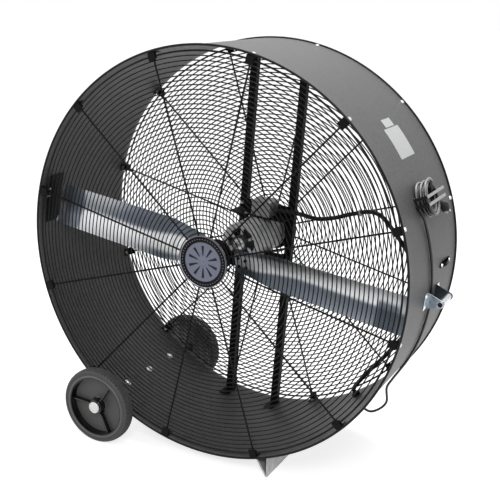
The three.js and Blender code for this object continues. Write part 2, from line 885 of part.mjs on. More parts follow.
// The motor lead's route: off the box, past the right strut to the rear guard, then down to the bush.
// Each row is an angle about the drum, a place along it from the tie and a share of its inner radius.
function motorLeadCurve() {
  const fittingEnd = boxOffset + boxWidth / 2 + leadFitting + 2 * seatGap;
  const lean = (x, z) => new THREE.Vector3(x, boxMidY, z).applyAxisAngle(Y_AXIS, radians(frameLean));
  const start = lean(fittingEnd, boxBase + boxHeight / 2);
  const after = lean(fittingEnd + 2 * motorLeadRadius, boxBase + boxHeight / 2);
  const end = aroundDrum(glandAngle, glandY, innerSeat - glandInside - seatGap);
  const before = aroundDrum(glandAngle, glandY, innerSeat - glandInside - 22);
  const tied = [-2, 0, 2].map((step) =>
    aroundDrum(leadTieAngle, leadTieY, leadTieReach + step * motorLeadRadius),
  );
  const towardsTie = [
    [59.6, -82, 0.262],
    [70.6, -56, 0.326],
    [73.7, -26, 0.404],
    [73.8, -7, 0.463],
  ];
  const pastTie = [
    [74.8, -1, 0.597],
    [77.1, -3, 0.639],
    [82.1, -6, 0.684],
    [90.7, -9, 0.764],
    [97.9, -13, 0.849],
    [105.5, -18, 0.907],
    [113.9, -24, 0.92],
    [122.7, -32, 0.913],
    [131.2, -44, 0.914],
    [139.2, -58, 0.928],
  ];
  const through = (route) =>
    route.map(([angle, fromTie, share]) => aroundDrum(angle, leadTieY + fromTie, share * innerSeat));
  const points = [start, after, ...through(towardsTie), ...tied, ...through(pastTie), before, end];
  return new THREE.CatmullRomCurve3(points, false, "centripetal");
}

// A band that holds the lead to a spoke of the rear guard.
function makeLeadTie() {
  const half = motorLeadRadius + leadTieSlack;
  const front = leadTieY - motorLeadRadius - seatGap;
  const rear = rearGuardY + guardWire / 2 + seatGap;
  const low = leadTieReach - leadTieWidth / 2;
  const high = leadTieReach + leadTieWidth / 2;
  return cut(
    box(-half - leadTieWall, half + leadTieWall, front - leadTieWall, rear + leadTieWall, low, high),
    box(-half, half, front, rear, low - 1, high + 1),
  );
}

// The bush in the drum's wall, seen from outside: nut inside, neck through the hole, collar outside.
function makeGland() {
  const corners = [
    [0, innerSeat - glandInside],
    [glandFlangeRadius, innerSeat - glandInside],
    [glandFlangeRadius, innerSeat - seatGap],
    [glandBodyRadius, innerSeat - seatGap],
    [glandBodyRadius, outerSeat],
    [glandFlangeRadius, outerSeat],
    [glandFlangeRadius, outerSeat + glandOutside],
    [0, outerSeat + glandOutside],
  ];
  return turned(corners, 16).rotateX(Math.PI / 2).translate(0, glandY, 0);
}

// The tapered boot that the power cord leaves through.
function makeRelief() {
  const base = outerSeat + glandOutside + seatGap;
  const corners = [
    [0, base],
    [reliefBaseRadius, base],
    [reliefBaseRadius, base + reliefLength / 6],
    [reliefTipRadius, base + reliefLength],
    [0, base + reliefLength],
  ];
  return turned(corners, 16).rotateX(Math.PI / 2).translate(0, glandY, 0);
}

// A point of the coil in its own frame: x down the skin, y along the drum, z away from the axis.
// It turns clockwise, spirals in and out at a steady rate, and climbs in the half turn at each reversal.
function coilPoint(turn) {
  const perLayer = coilTurnCount / coilLayerCount;
  const layer = Math.min(Math.floor(turn / perLayer), coilLayerCount - 1);
  const within = turn / perLayer - layer;
  const inwards = layer % 2 === 0;
  const radius = coilMeanRadius + coilHalfWidth * (inwards ? 1 - 2 * within : 2 * within - 1);
  const nearest = Math.round(turn / perLayer);
  const fromReversal = turn - nearest * perLayer;
  const inside = nearest > 0 && nearest < coilLayerCount && Math.abs(fromReversal) < 0.25;
  const level = inside ? nearest - 0.5 + 2 * fromReversal : layer;
  const angle = radians(coilStartAngle) - 2 * Math.PI * turn;
  return new THREE.Vector3(
    radius * Math.cos(angle),
    coilY + radius * Math.sin(angle),
    coilFirstHeight + level * coilPitch,
  );
}

class CoilCurve extends THREE.Curve {
  getPoint(t, target = new THREE.Vector3()) {
    return target.copy(coilPoint(t * coilTurnCount));
  }
}

// The least clear distance between turns of the coil, from points along its centre line.
function coilSelfGap() {
  const perTurn = coilStepCount * 2;
  const points = Array.from({ length: Math.floor(coilTurnCount * perTurn) + 1 }, (_, k) => coilPoint(k / perTurn));
  let least = Infinity;
  for (let i = 0; i < points.length; i += 1) {
    for (let k = i + perTurn / 2; k < points.length; k += 1) {
      least = Math.min(least, points[i].distanceTo(points[k]));
    }
  }
  return least - 2 * cordRadius;
}

// From a place beside the coil, in the coil's own frame, to the drum's frame.
function besideCoil(x, y, z) {
  return new THREE.Vector3(x, coilY + y, z).applyAxisAngle(Y_AXIS, radians(coilAngle));
}

// The way the plug points, level with the skin beside the coil.
function plugDirection() {
  const heading = new THREE.Vector3(Math.cos(radians(plugHeadingAngle)), Math.sin(radians(plugHeadingAngle)), 0);
  return heading.applyAxisAngle(Y_AXIS, radians(coilAngle));
}

// The cord along the skin, from its boot at the drum's underside up to the coil.
function cordRunCurve() {
  const lying = skinRadius + cordRadius + 1;
  const boot = outerSeat + glandOutside + reliefLength + 2 * seatGap;
  const start = coilPoint(0);
  const joint = coilPoint(0.002);
  const heading = start.clone().sub(joint).normalize();
  const toDrum = (point) => point.clone().applyAxisAngle(Y_AXIS, radians(coilAngle));
  const end = toDrum(start.clone().addScaledVector(heading, seatGap));
  const before = toDrum(start.clone().addScaledVector(heading, 20));
  const route = [
    [glandAngle, glandY, boot],
    [glandAngle, glandY, boot + 10],
    [143.8, glandY - 5, boot + 24],
    [140.6, glandY - 14, boot + 29],
    [136.8, glandY - 26, boot + 20],
    [133, glandY - 42, lying + 14],
    [129, glandY - 60, lying + 4],
    [124, 66, lying],
    [118, 46, lying],
    [112, 28, lying],
    [106, 12, lying],
    [100, 0, lying],
    [94.5, -14, lying],
    [89.5, -28, lying],
    [85, -38, lying],
    [81.5, -46, lying],
    [77.5, -56, lying + 0.5],
  ].map(([angle, y, radius]) => aroundDrum(angle, y, radius));
  return new THREE.CatmullRomCurve3([...route, before, end], false, "centripetal");
}

// The last of the cord, from the coil's top over to the plug.
function cordTailCurve() {
  const last = coilPoint(coilTurnCount);
  const prior = coilPoint(coilTurnCount - 0.002);
  const heading = last.clone().sub(prior).normalize();
  const toDrum = (point) => point.clone().applyAxisAngle(Y_AXIS, radians(coilAngle));
  const start = toDrum(last.clone().addScaledVector(heading, seatGap));
  const after = toDrum(last.clone().addScaledVector(heading, 14));
  const plugEntry = besideCoil(plugDown, plugAlong, plugCentre);
  const beforePlug = plugEntry.clone().addScaledVector(plugDirection(), -plugLead);
  const route = [
    besideCoil(-46, 42, coilTopHeight - 4),
    besideCoil(-32, 66, coilTopHeight - 10),
    besideCoil(-8, 88, coilTopHeight - 17),
  ];
  return new THREE.CatmullRomCurve3([start, after, ...route, beforePlug, plugEntry], false, "centripetal");
}

// A flat band around the coil, with a free tail along its outer face.
function makeCoilTie() {
  const reach = coilMeanRadius + coilHalfWidth + cordRadius + tieClear;
  const low = outerSeat;
  const high = coilTopHeight + cordRadius + tieClear;
  const shape = outline([
    [coilY - reach - tieSheet, low],
    [coilY + reach + tieSheet, low],
    [coilY + reach + tieSheet, high],
    [coilY + reach + tieTail, high],
    [coilY + reach + tieTail, high + tieSheet],
    [coilY - reach - tieSheet, high + tieSheet],
  ]);
  const inside = outline([
    [coilY - reach, low + tieSheet],
    [coilY + reach, low + tieSheet],
    [coilY + reach, high],
    [coilY - reach, high],
  ]);
  shape.holes.push(new THREE.Path(inside.getPoints()));
  return extrudeAlongX(shape, -tieWidth / 2, tieWidth / 2);
}

// The hook that the coil hangs on: a foot on the skin, a post inside the turns and a lip over them.
function makeCordHook() {
  const inner = coilMeanRadius - coilHalfWidth - cordRadius - 2 * tieClear;
  const post0 = -inner * 0.82;
  const low = outerSeat;
  const top = coilTopHeight + cordRadius + 2 * tieClear;
  const shape = outline([
    [post0, low],
    [-tieSpacing / 2 - tieWidth / 2 - tieClear, low],
    [-tieSpacing / 2 - tieWidth / 2 - tieClear, low + hookSheet],
    [post0 + hookSheet, low + hookSheet],
    [post0 + hookSheet, top + hookSheet],
    [post0 - hookLip, top + hookSheet],
    [post0 - hookLip, top],
    [post0, top],
  ]);
  return extrudeAlongY(shape, coilY - hookWidth / 2, coilY + hookWidth / 2);
}

// A three-pin plug lying on the skin beside the coil.
function makePlug() {
  const halfWidth = plugWidth / 2;
  const halfHeight = plugHeight / 2;
  const shoulder = plugLength * 0.3;
  const body = extrudeAlongX(
    outline([
      [-halfWidth, -halfHeight + 4],
      [-halfWidth + 4, -halfHeight],
      [halfWidth - 4, -halfHeight],
      [halfWidth, -halfHeight + 4],
      [halfWidth, halfHeight - 4],
      [halfWidth - 4, halfHeight],
      [-halfWidth + 4, halfHeight],
      [-halfWidth, halfHeight - 4],
    ]),
    shoulder,
    plugLength,
  );
  const neck = ring(0, cordRadius + 3, seatGap, shoulder + 1, 12).rotateZ(-Math.PI / 2);
  const end = plugLength + bladePinLength;
  const bladePins = [-1, 1].map((side) =>
    box(
      plugLength - 1,
      end,
      (side * bladePinSpacing - bladePinSheet) / 2,
      (side * bladePinSpacing + bladePinSheet) / 2,
      -bladePinWidth,
      0,
    ),
  );
  const ground = ring(0, groundPinRadius, plugLength - 1, end + 2, 10).rotateZ(-Math.PI / 2);
  return join(body, neck, ...bladePins, ground.translate(0, 0, halfHeight / 2));
}

// The fan about its own axis.
const fan = new THREE.Group();
fan.position.z = axisHeight;

piece("drum_shell", makeDrum(), drumPaint, fan);
piece("front_guard", makeGuard(frontGuardY), guardPaint, fan);
piece("front_badge", makeBadge(), badgeBlue, fan);

spokeAngles.forEach((angle, k) => {
  const name = `guard_clip_${String(k + 1).padStart(2, "0")}`;
  piece(name, makeClip(), blackSteel, fan, angle);
});
piece("rear_guard", makeRearGuard(), guardPaint, fan);

// Struts and motor share one lean.
const drive = new THREE.Group();
drive.rotation.y = radians(frameLean);
fan.add(drive);
piece("strut_left", makeStrut(-1), blackSteel, drive);
piece("strut_right", makeStrut(1), blackSteel, drive);
piece("motor_bracket_upper", makeMotorBracket(1), blackSteel, drive);
piece("motor_bracket_lower", makeMotorBracket(-1), blackSteel, drive);
piece("motor_shell", makeMotorShell(), motorPaint, drive);
piece("motor_front_bell", makeFrontBell(), motorPaint, drive);
piece("motor_rear_bell", makeRearBell(), motorPaint, drive);
piece("motor_stator", makeStator(), copperCore, drive);
piece("terminal_box", makeTerminalBox(), motorPaint, drive);
piece("terminal_lid", makeTerminalLid(), motorPaint, drive);
piece("lead_fitting", makeLeadFitting(), blackSteel, drive);
piece("motor_lead", tube(motorLeadCurve(), motorLeadRadius, 8, 46), cordRubber, fan);
piece("lead_tie", makeLeadTie(), tieWhite, fan, leadTieAngle);

// What turns with the shaft.
const spinner = new THREE.Group();
spinner.rotation.y = radians(propellerTurn);
fan.add(spinner);
piece("motor_shaft", makeShaft(), shaftSteel, spinner);
piece("motor_rotor", makeRotor(), shaftSteel, spinner);
piece("propeller_hub", makeHub(), blackSteel, spinner);
piece("propeller_blade_a", makeBlade(), bladeMetal, spinner);
piece("propeller_blade_b", makeBlade(), bladeMetal, spinner, 180);
piece("hub_nut", makeHubNut(), shaftSteel, spinner);

// Wheels, axle and foot.
piece("axle_channel", makeAxleChannel(), blackSteel, fan, axleAngle);
const axle = new THREE.Group();
axle.position.set(wheelX, 0, -wheelDrop);
fan.add(axle);
piece("axle_rod", makeAxle(), shaftSteel, axle);
piece("front_wheel", makeWheel(frontWheelY, -1), wheelPlastic, axle);
piece("front_tyre", makeTyre(frontWheelY), tyreRubber, axle);
piece("front_axle_cap", makeAxleCap(frontWheelY, -1), capZinc, axle);
piece("rear_wheel", makeWheel(rearWheelY, 1), wheelPlastic, axle);
piece("rear_tyre", makeTyre(rearWheelY), tyreRubber, axle);
piece("rear_axle_cap", makeAxleCap(rearWheelY, 1), capZinc, axle);
piece("foot_channel", makeFoot(), zincSteel, fan);

// What is fixed to the drum's skin.
piece("handle_ear_front", makeEar(handleFrontY, -1), zincSteel, fan, handleAngle);
piece("handle_ear_rear", makeEar(handleRearY, 1), zincSteel, fan, handleAngle);
piece("handle_tube", makeHandleTube(), zincSteel, fan, handleAngle);
piece("side_clip", makeSideClip(), blackSteel, fan, sideClipAngle);
piece("inner_plate", makeInnerPlate(), blackSteel, fan, plateAngle);
piece("cord_gland", makeGland(), blackSteel, fan, glandAngle);

// The power cord, its coil and its plug.
piece("strain_relief", makeRelief(), cordRubber, fan, glandAngle);
piece("cord_run", tube(cordRunCurve(), cordRadius, 8, 48), cordRubber, fan);
const coilSteps = Math.round(coilTurnCount * coilStepCount);
piece("cord_coil", tube(new CoilCurve(), cordRadius, coilSideCount, coilSteps), cordRubber, fan, coilAngle);
piece("cord_tail", tube(cordTailCurve(), cordRadius, 8, 12), cordRubber, fan);
piece("coil_tie_upper", makeCoilTie().translate(-tieSpacing / 2, 0, 0), tieNylon, fan, coilAngle);
piece("coil_tie_lower", makeCoilTie().translate(tieSpacing / 2, 0, 0), tieNylon, fan, coilAngle);
piece("cord_hook", makeCordHook(), blackSteel, fan, coilAngle);

const plug = piece("plug", makePlug(), cordRubber, fan);
const plugUp = aroundDrum(coilAngle, 0, 1);
const plugSide = new THREE.Vector3().crossVectors(plugUp, plugDirection());
plug.setRotationFromMatrix(new THREE.Matrix4().makeBasis(plugDirection(), plugSide, plugUp));
plug.position.copy(besideCoil(plugDown, plugAlong, plugCentre));

console.log(`coil: least gap to itself ${coilSelfGap().toFixed(2)} mm`);

// Stand the fan on the floor with the middle of its footprint over the origin, its cord left out.
const cordPieces = ["strain_relief", "cord_run", "cord_coil", "cord_tail", "coil_tie_upper", "coil_tie_lower", "plug"];
const group = new THREE.Group();
group.add(fan);
group.updateMatrixWorld(true);
const extent = new THREE.Box3();
fan.traverse((node) => {
  if (node.isMesh && !cordPieces.includes(node.name)) extent.expandByObject(node, true);
});
fan.position.x = -(extent.min.x + extent.max.x) / 2;
fan.position.y = -(extent.min.y + extent.max.y) / 2;

export default group;
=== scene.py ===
import math

import bmesh
import bpy
import numpy as np
from mathutils import Matrix, Vector


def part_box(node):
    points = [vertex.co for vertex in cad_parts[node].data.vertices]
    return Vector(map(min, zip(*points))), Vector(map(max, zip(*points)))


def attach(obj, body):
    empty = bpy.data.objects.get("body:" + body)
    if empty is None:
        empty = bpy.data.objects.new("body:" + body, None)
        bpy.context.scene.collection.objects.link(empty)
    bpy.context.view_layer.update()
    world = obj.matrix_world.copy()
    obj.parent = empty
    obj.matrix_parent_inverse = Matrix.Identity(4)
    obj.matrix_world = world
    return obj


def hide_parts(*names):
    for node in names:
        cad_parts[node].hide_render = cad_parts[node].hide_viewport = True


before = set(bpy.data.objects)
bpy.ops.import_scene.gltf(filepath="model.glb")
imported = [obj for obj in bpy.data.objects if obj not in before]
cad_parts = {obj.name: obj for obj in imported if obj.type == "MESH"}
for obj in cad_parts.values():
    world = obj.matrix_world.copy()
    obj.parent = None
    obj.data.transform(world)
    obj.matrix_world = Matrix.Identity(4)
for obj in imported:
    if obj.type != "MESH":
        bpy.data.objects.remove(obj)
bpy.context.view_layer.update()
print("frame loaded:", len(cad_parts), "nodes")

# Shapes are worked out in millimetres about the drum's own axis: x to the handle's side, y to the back, z up.
axisPoint = np.array(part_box("drum_shell")).mean(axis=0) * 1000
spokeAngles = 14 + 30 * np.arange(12)
drum = dict(inner=619, outer=621, beadMiddle=622.5, beadRadius=3.5, beadY=229.5, segments=288)


# Shape helpers

def smoothstep(x, low, high):
    # 0 below low, 1 above high, and 3t² - 2t³ between.
    t = np.clip((x - low) / (high - low), 0, 1)
    return t * t * (3 - 2 * t)


def turnAbout(points, angle):
    # Turns points about the drum's axis, from up towards +x, by an angle in degrees.
    p = np.asarray(points, float)
    s, c = math.sin(math.radians(angle)), math.cos(math.radians(angle))
    return np.stack([p[..., 0] * c + p[..., 2] * s, p[..., 1], -p[..., 0] * s + p[..., 2] * c], -1)


def onDrum(angle, y, radius):
    # A point by its angle from up, its place along the drum and its distance from the axis.
    a = np.radians(np.asarray(angle, float))
    return np.stack(np.broadcast_arrays(radius * np.sin(a), np.asarray(y, float), radius * np.cos(a)), -1)


def gridFaces(rows, columns, wrapRows=False, wrapColumns=False, start=0):
    # Four-sided faces of a grid of points that is counted row by row.
    i = np.arange(rows if wrapRows else rows - 1)[:, None]
    j = np.arange(columns if wrapColumns else columns - 1)[None, :]
    iNext, jNext = (i + 1) % rows, (j + 1) % columns
    corners = [i * columns + j, i * columns + jNext, iNext * columns + jNext, iNext * columns + j]
    return np.stack([np.broadcast_to(c, (len(i), j.shape[1])) for c in corners], -1).reshape(-1, 4) + start


def putMesh(name, points, faces, material, body="fan_frame", sharp=40, outward=True):
    # Puts arrays of points and faces into a mesh at its place in the part, merged and turned outwards.
    places = (np.reshape(points, (-1, 3)) + axisPoint) * 0.001
    faces = faces if isinstance(faces, list) else [faces]
    loops = np.concatenate([f.ravel() for f in faces]).astype(np.int32)
    counts = np.concatenate([np.full(len(f), f.shape[1]) for f in faces])
    mesh = bpy.data.meshes.new(name)
    mesh.vertices.add(len(places))
    mesh.vertices.foreach_set("co", places.ravel())
    mesh.loops.add(len(loops))
    mesh.loops.foreach_set("vertex_index", loops)
    mesh.polygons.add(len(counts))
    mesh.polygons.foreach_set("loop_start", (np.cumsum(counts) - counts).astype(np.int32))
    mesh.update(calc_edges=True)
    if outward:
        work = bmesh.new()
        work.from_mesh(mesh)
        bmesh.ops.remove_doubles(work, verts=work.verts, dist=1e-6)
        bmesh.ops.recalc_face_normals(work, faces=work.faces)
        work.to_mesh(mesh)
        work.free()
    mesh.materials.append(material)
    mesh.shade_smooth()
    mesh.set_sharp_from_angle(angle=math.radians(sharp))
    piece = bpy.data.objects.new(name, mesh)
    bpy.context.collection.objects.link(piece)
    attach(piece, body)
    return piece


def refinish(piece, material, chosen):
    # Gives a second material to the faces that a test of (x, y, radius) in millimetres about an axis picks.
    mesh = piece.data
    centres = np.empty(len(mesh.polygons) * 3)
    mesh.polygons.foreach_get("center", centres)
    mesh.materials.append(material)
    index = chosen(centres.reshape(-1, 3) * 1000 - axisPoint).astype(np.int32) * (len(mesh.materials) - 1)
    mesh.polygons.foreach_set("material_index", index)
    return piece


def bevel(piece, width, angle=35):
    # Rounds a piece's edges by a width in millimetres, where they turn by more than an angle in degrees.
    edge = piece.modifiers.new("edges", "BEVEL")
    edge.width, edge.segments, edge.limit_method = width * 0.001, 2, "ANGLE"
    edge.angle_limit = math.radians(angle)
    edge.harden_normals = False
    return piece


def turned(profile, segments, at=(0, 0, 0), closed=False):
    # A profile of (radius, y) carried round the y axis. Gives its points and faces.
    p = np.asarray(profile, float)
    a = np.linspace(0, 2 * np.pi, segments, endpoint=False)
    radius, along = p[:, :1], np.repeat(p[:, 1:], segments, 1)
    ring = np.stack([np.sin(a)[None] * radius, along, np.cos(a)[None] * radius], -1)
    return ring + np.array(at, float), gridFaces(len(p), segments, closed, True)


def roundCorners(corners, radius, steps=4, closed=True):
    # Swaps each corner of an outline for a short arc: a quadratic curve from one side to the other.
    c = np.asarray(corners, float)
    before, after = np.roll(c, 1, 0), np.roll(c, -1, 0)
    reachIn = np.minimum(radius, np.linalg.norm(before - c, axis=1) * 0.45)[:, None]
    reachOut = np.minimum(radius, np.linalg.norm(after - c, axis=1) * 0.45)[:, None]
    start = c + (before - c) / np.linalg.norm(before - c, axis=1, keepdims=True) * reachIn
    end = c + (after - c) / np.linalg.norm(after - c, axis=1, keepdims=True) * reachOut
    t = np.linspace(0, 1, steps + 1)[None, :, None]
    arcs = start[:, None] * (1 - t) ** 2 + c[:, None] * 2 * t * (1 - t) + end[:, None] * t**2
    return arcs.reshape(-1, 2)


def prism(outline, low, high, axes):
    # An outline carried straight along one axis. axes puts (outline a, outline b, along) on x, y and z.
    o = np.asarray(outline, float)
    n = len(o)
    local = np.concatenate([np.c_[o, np.full(n, low)], np.c_[o, np.full(n, high)]])
    points = np.zeros_like(local)
    points[:, axes] = local
    sides = gridFaces(2, n, False, True)
    caps = np.stack([np.arange(n), np.arange(n)[::-1] + n])
    return points, [sides, caps]


def many(shapes):
    # Joins several (points, faces) shapes into one.
    points, faces, start = [], [], 0
    for shape, shapeFaces in shapes:
        shape = np.reshape(shape, (-1, 3))
        points.append(shape)
        faces += [f + start for f in (shapeFaces if isinstance(shapeFaces, list) else [shapeFaces])]
        start += len(shape)
    return np.concatenate(points), faces


def torus(radius, wire, y, segments, sides):
    # A ring of round wire about the y axis: (R + w cos v) round the axis and w sin v along it.
    u = np.linspace(0, 2 * np.pi, segments, endpoint=False)[:, None]
    v = np.linspace(0, 2 * np.pi, sides, endpoint=False)[None]
    reach = radius + wire * np.cos(v)
    points = np.stack([reach * np.sin(u), y + wire * np.sin(v) + 0 * u, reach * np.cos(u)], -1)
    return points, gridFaces(segments, sides, True, True)


def rod(start, end, radius, sides=12):
    # A straight round bar with flat ends between two points.
    start, end = np.asarray(start, float), np.asarray(end, float)
    along = (end - start) / np.linalg.norm(end - start)
    across = np.cross(along, [0.31, 0.77, 0.55])
    across /= np.linalg.norm(across)
    other = np.cross(along, across)
    v = np.linspace(0, 2 * np.pi, sides, endpoint=False)[:, None]
    ring = radius * (np.cos(v) * across + np.sin(v) * other)
    caps = np.stack([np.arange(sides)[::-1], np.arange(sides) + sides])
    return np.concatenate([start + ring, end + ring]), [gridFaces(2, sides, False, True), caps]


def boltHead(at, out, radius, height, sides=6, dome=0.25):
    # A bolt head: a many-sided prism along a direction, chamfered to a smaller top.
    at, out = np.asarray(at, float), np.asarray(out, float)
    out = out / np.linalg.norm(out)
    across = np.cross(out, [0.2, 0.9, 0.4])
    across /= np.linalg.norm(across)
    other = np.cross(out, across)
    v = np.linspace(0, 2 * np.pi, sides, endpoint=False)[:, None]
    ring = np.cos(v) * across + np.sin(v) * other
    levels = [(1.0, 0.0), (1.0, 1 - dome), (0.8, 1.0), (0.0, 1.0)]
    points = np.stack([at + radius * share * ring + out * height * up for share, up in levels])
    return points, gridFaces(len(levels), sides, False, True)


def smoothPath(points, step=4.0):
    # A curve through points: centripetal Catmull-Rom, worked out span by span as Hermite curves.
    p = np.asarray(points, float)
    p = np.concatenate([[2 * p[0] - p[1]], p, [2 * p[-1] - p[-2]]])
    gap = np.sqrt(np.linalg.norm(np.diff(p, axis=0), axis=1))
    before, here, after = gap[:-2, None], gap[1:-1, None], gap[2:, None]
    a, b, c, d = p[:-3], p[1:-2], p[2:-1], p[3:]
    leave = ((b - a) / before - (c - a) / (before + here) + (c - b) / here) * here
    reach = ((c - b) / here - (d - b) / (here + after) + (d - c) / after) * here
    t = np.linspace(0, 1, 24, endpoint=False)[None, :, None]
    b, c, leave, reach = (q[:, None] for q in (b, c, leave, reach))
    curve = (2 * t**3 - 3 * t**2 + 1) * b + (t**3 - 2 * t**2 + t) * leave
    curve = curve + (-2 * t**3 + 3 * t**2) * c + (t**3 - t**2) * reach
    curve = np.concatenate([curve.reshape(-1, 3), p[-2:-1]])
    run = np.r_[0, np.cumsum(np.linalg.norm(np.diff(curve, axis=0), axis=1))]
    even = np.linspace(0, run[-1], max(2, int(run[-1] / step)))
    return np.stack([np.interp(even, run, curve[:, k]) for k in range(3)], -1)


def lengthOf(path):
    return float(np.linalg.norm(np.diff(path, axis=0), axis=1).sum()) * 0.001


def putCord(name, path, radius, material, body="fan_frame"):
    # A round cord along a path, as a curve with a round bevel.
    data = bpy.data.curves.new(name, "CURVE")
    data.dimensions, data.bevel_depth, data.bevel_resolution = "3D", radius * 0.001, 4
    data.use_fill_caps = True
    spline = data.splines.new("POLY")
    spline.points.add(len(path) - 1)
    places = np.c_[(np.asarray(path) + axisPoint) * 0.001, np.ones(len(path))]
    spline.points.foreach_set("co", places.ravel())
    spline.use_smooth = True
    data.materials.append(material)
    piece = bpy.data.objects.new(name, data)
    bpy.context.collection.objects.link(piece)
    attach(piece, body)
    return piece


def copyOfNode(node, name, material, width, body="fan_frame"):
    # A CAD node's own shape with its edges rounded.
    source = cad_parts[node]
    mesh = source.data.copy()
    work = bmesh.new()
    work.from_mesh(mesh)
    bmesh.ops.remove_doubles(work, verts=work.verts, dist=2e-6)
    bmesh.ops.dissolve_limit(work, angle_limit=math.radians(1), verts=work.verts, edges=work.edges)
    work.to_mesh(mesh)
    work.free()
    mesh.materials.clear()
    mesh.materials.append(material)
    mesh.shade_smooth()
    mesh.set_sharp_from_angle(angle=math.radians(30))
    piece = bpy.data.objects.new(name, mesh)
    bpy.context.collection.objects.link(piece)
    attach(piece, body)
    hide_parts(node)
    return bevel(piece, width, 30)


# Materials

def openTree(material):
    # A material's nodes, links and shader.
    tree = material.node_tree
    return tree.nodes, tree.links, tree.nodes["Principled BSDF"]


def mixOver(material, amount, color):
    # Mixes another colour over the base colour by a socket that runs from 0 to 1.
    nodes, links, shader = openTree(material)
    mix = nodes.new("ShaderNodeMix")
    mix.data_type = "RGBA"
    first, second, mixed = mix.inputs[6], mix.inputs[7], mix.outputs[2]
    second.default_value = (*color, 1)
    links.new(amount, mix.inputs["Factor"])
    links.new(shader.inputs["Base Color"].links[0].from_socket, first)
    links.new(mixed, shader.inputs["Base Color"])


def makeMaterial(name, color, roughness, metallic=0, mottle=0, mottleSize=0.02, grain=0, grainSize=0.001,
                 roughSpread=0, gloss=0.5):
    # Paint, metal or plastic: slow noise mottles the colour and moves the roughness, fine noise is the grain.
    material = bpy.data.materials.new(name)
    material.use_nodes = True
    nodes, links, shader = openTree(material)
    shader.inputs["Metallic"].default_value = metallic
    shader.inputs["Roughness"].default_value = roughness
    shader.inputs["Base Color"].default_value = (*color, 1)
    shader.inputs["Specular IOR Level"].default_value = gloss
    where = nodes.new("ShaderNodeTexCoord").outputs["Object"]
    if mottle or roughSpread:
        slow = nodes.new("ShaderNodeTexNoise")
        slow.inputs["Scale"].default_value = 1 / mottleSize
        slow.inputs["Detail"].default_value = 6
        slow.inputs["Roughness"].default_value = 0.62
        links.new(where, slow.inputs["Vector"])
    if mottle:
        ramp = nodes.new("ShaderNodeValToRGB")
        low, high = ramp.color_ramp.elements
        low.position, high.position = 0.32, 0.68
        low.color = (*[c * (1 - mottle) for c in color], 1)
        high.color = (*[min(1, c * (1 + mottle)) for c in color], 1)
        links.new(slow.outputs["Fac"], ramp.inputs["Fac"])
        links.new(ramp.outputs["Color"], shader.inputs["Base Color"])
    if roughSpread:
        spread = nodes.new("ShaderNodeMapRange")
        spread.inputs["To Min"].default_value = roughness - roughSpread
        spread.inputs["To Max"].default_value = roughness + roughSpread
        links.new(slow.outputs["Fac"], spread.inputs["Value"])
        links.new(spread.outputs["Result"], shader.inputs["Roughness"])
    if grain:
        fine = nodes.new("ShaderNodeTexNoise")
        fine.inputs["Scale"].default_value = 1 / grainSize
        fine.inputs["Detail"].default_value = 3
        links.new(where, fine.inputs["Vector"])
        bump = nodes.new("ShaderNodeBump")
        bump.inputs["Strength"].default_value = grain
        bump.inputs["Distance"].default_value = grainSize * 0.35
        links.new(fine.outputs["Fac"], bump.inputs["Height"])
        links.new(bump.outputs["Normal"], shader.inputs["Normal"])
    return material


# Each finish: colour, roughness, metallic, mottle and its size, grain and its size, spread of the roughness.
drumPaint = makeMaterial("drumPaint", (0.080, 0.079, 0.080), 0.46, 0, 0.36, 0.006, 1, 0.0032, 0.08, gloss=0.3)
wirePaint = makeMaterial("wirePaint", (0.004, 0.004, 0.0045), 0.34, 0, 0.2, 0.03, 0.1, 0.0008, 0.06,
                         gloss=0.16)
blackSteel = makeMaterial("blackSteel", (0.0035, 0.0035, 0.004), 0.5, 0, 0.25, 0.02, 0.25, 0.001, 0.08,
                          gloss=0.09)
zincSteel = makeMaterial("zincSteel", (0.30, 0.36, 0.42), 0.3, 0.85, 0.2, 0.012, 0.1, 0.0008, 0.1)
# lit and shaded copies of the zinc: painted light for the ears' flanges and the tube, painted shade for the
# rear ear
zincPaintedLight = makeMaterial("zincPaintedLight", (0.62, 0.65, 0.68), 0.26, 0.85, 0.12, 0.012, 0.1, 0.0008, 0.1)
zincPaintedShade = makeMaterial("zincPaintedShade", (0.055, 0.065, 0.08), 0.3, 0.85, 0.2, 0.012, 0.1, 0.0008, 0.1)
footZinc = makeMaterial("footZinc", (0.46, 0.46, 0.465), 0.45, 0.5, 0.25, 0.02, 0.3, 0.002, 0.1)
boltZinc = makeMaterial("boltZinc", (0.72, 0.72, 0.70), 0.3, 0.9, 0.1, 0.004, 0, 0.001, 0.08)
motorCast = makeMaterial("motorCast", (0.54, 0.54, 0.545), 0.42, 0.3, 0.14, 0.01, 0.35, 0.0012, 0.08)
boxCast = makeMaterial("boxCast", (0.30, 0.30, 0.305), 0.45, 0.2, 0.14, 0.01, 0.35, 0.0012, 0.08)
motorDark = makeMaterial("motorDark", (0.035, 0.035, 0.036), 0.5, 0.1, 0.2, 0.01, 0.3, 0.001, 0.08)
shaftSteel = makeMaterial("shaftSteel", (0.55, 0.55, 0.56), 0.28, 1, 0.08, 0.006, 0.1, 0.0006, 0.08)
copperWire = makeMaterial("copperWire", (0.05, 0.036, 0.029), 0.35, 0.5, 0.25, 0.004, 0.5, 0.0012, 0.1)
wheelPlastic = makeMaterial("wheelPlastic", (0.055, 0.055, 0.054), 0.5, 0, 0.16, 0.003, 0.5, 0.0012, 0.06)
wheelGloss = makeMaterial("wheelGloss", (0.004, 0.004, 0.004), 0.12, 0, 0.1, 0.02, 0.06, 0.0012, 0.03,
                          gloss=0.5)
tyreRubber = makeMaterial("tyreRubber", (0.046, 0.046, 0.046), 0.6, 0, 0.3, 0.004, 0.6, 0.0014, 0.08)
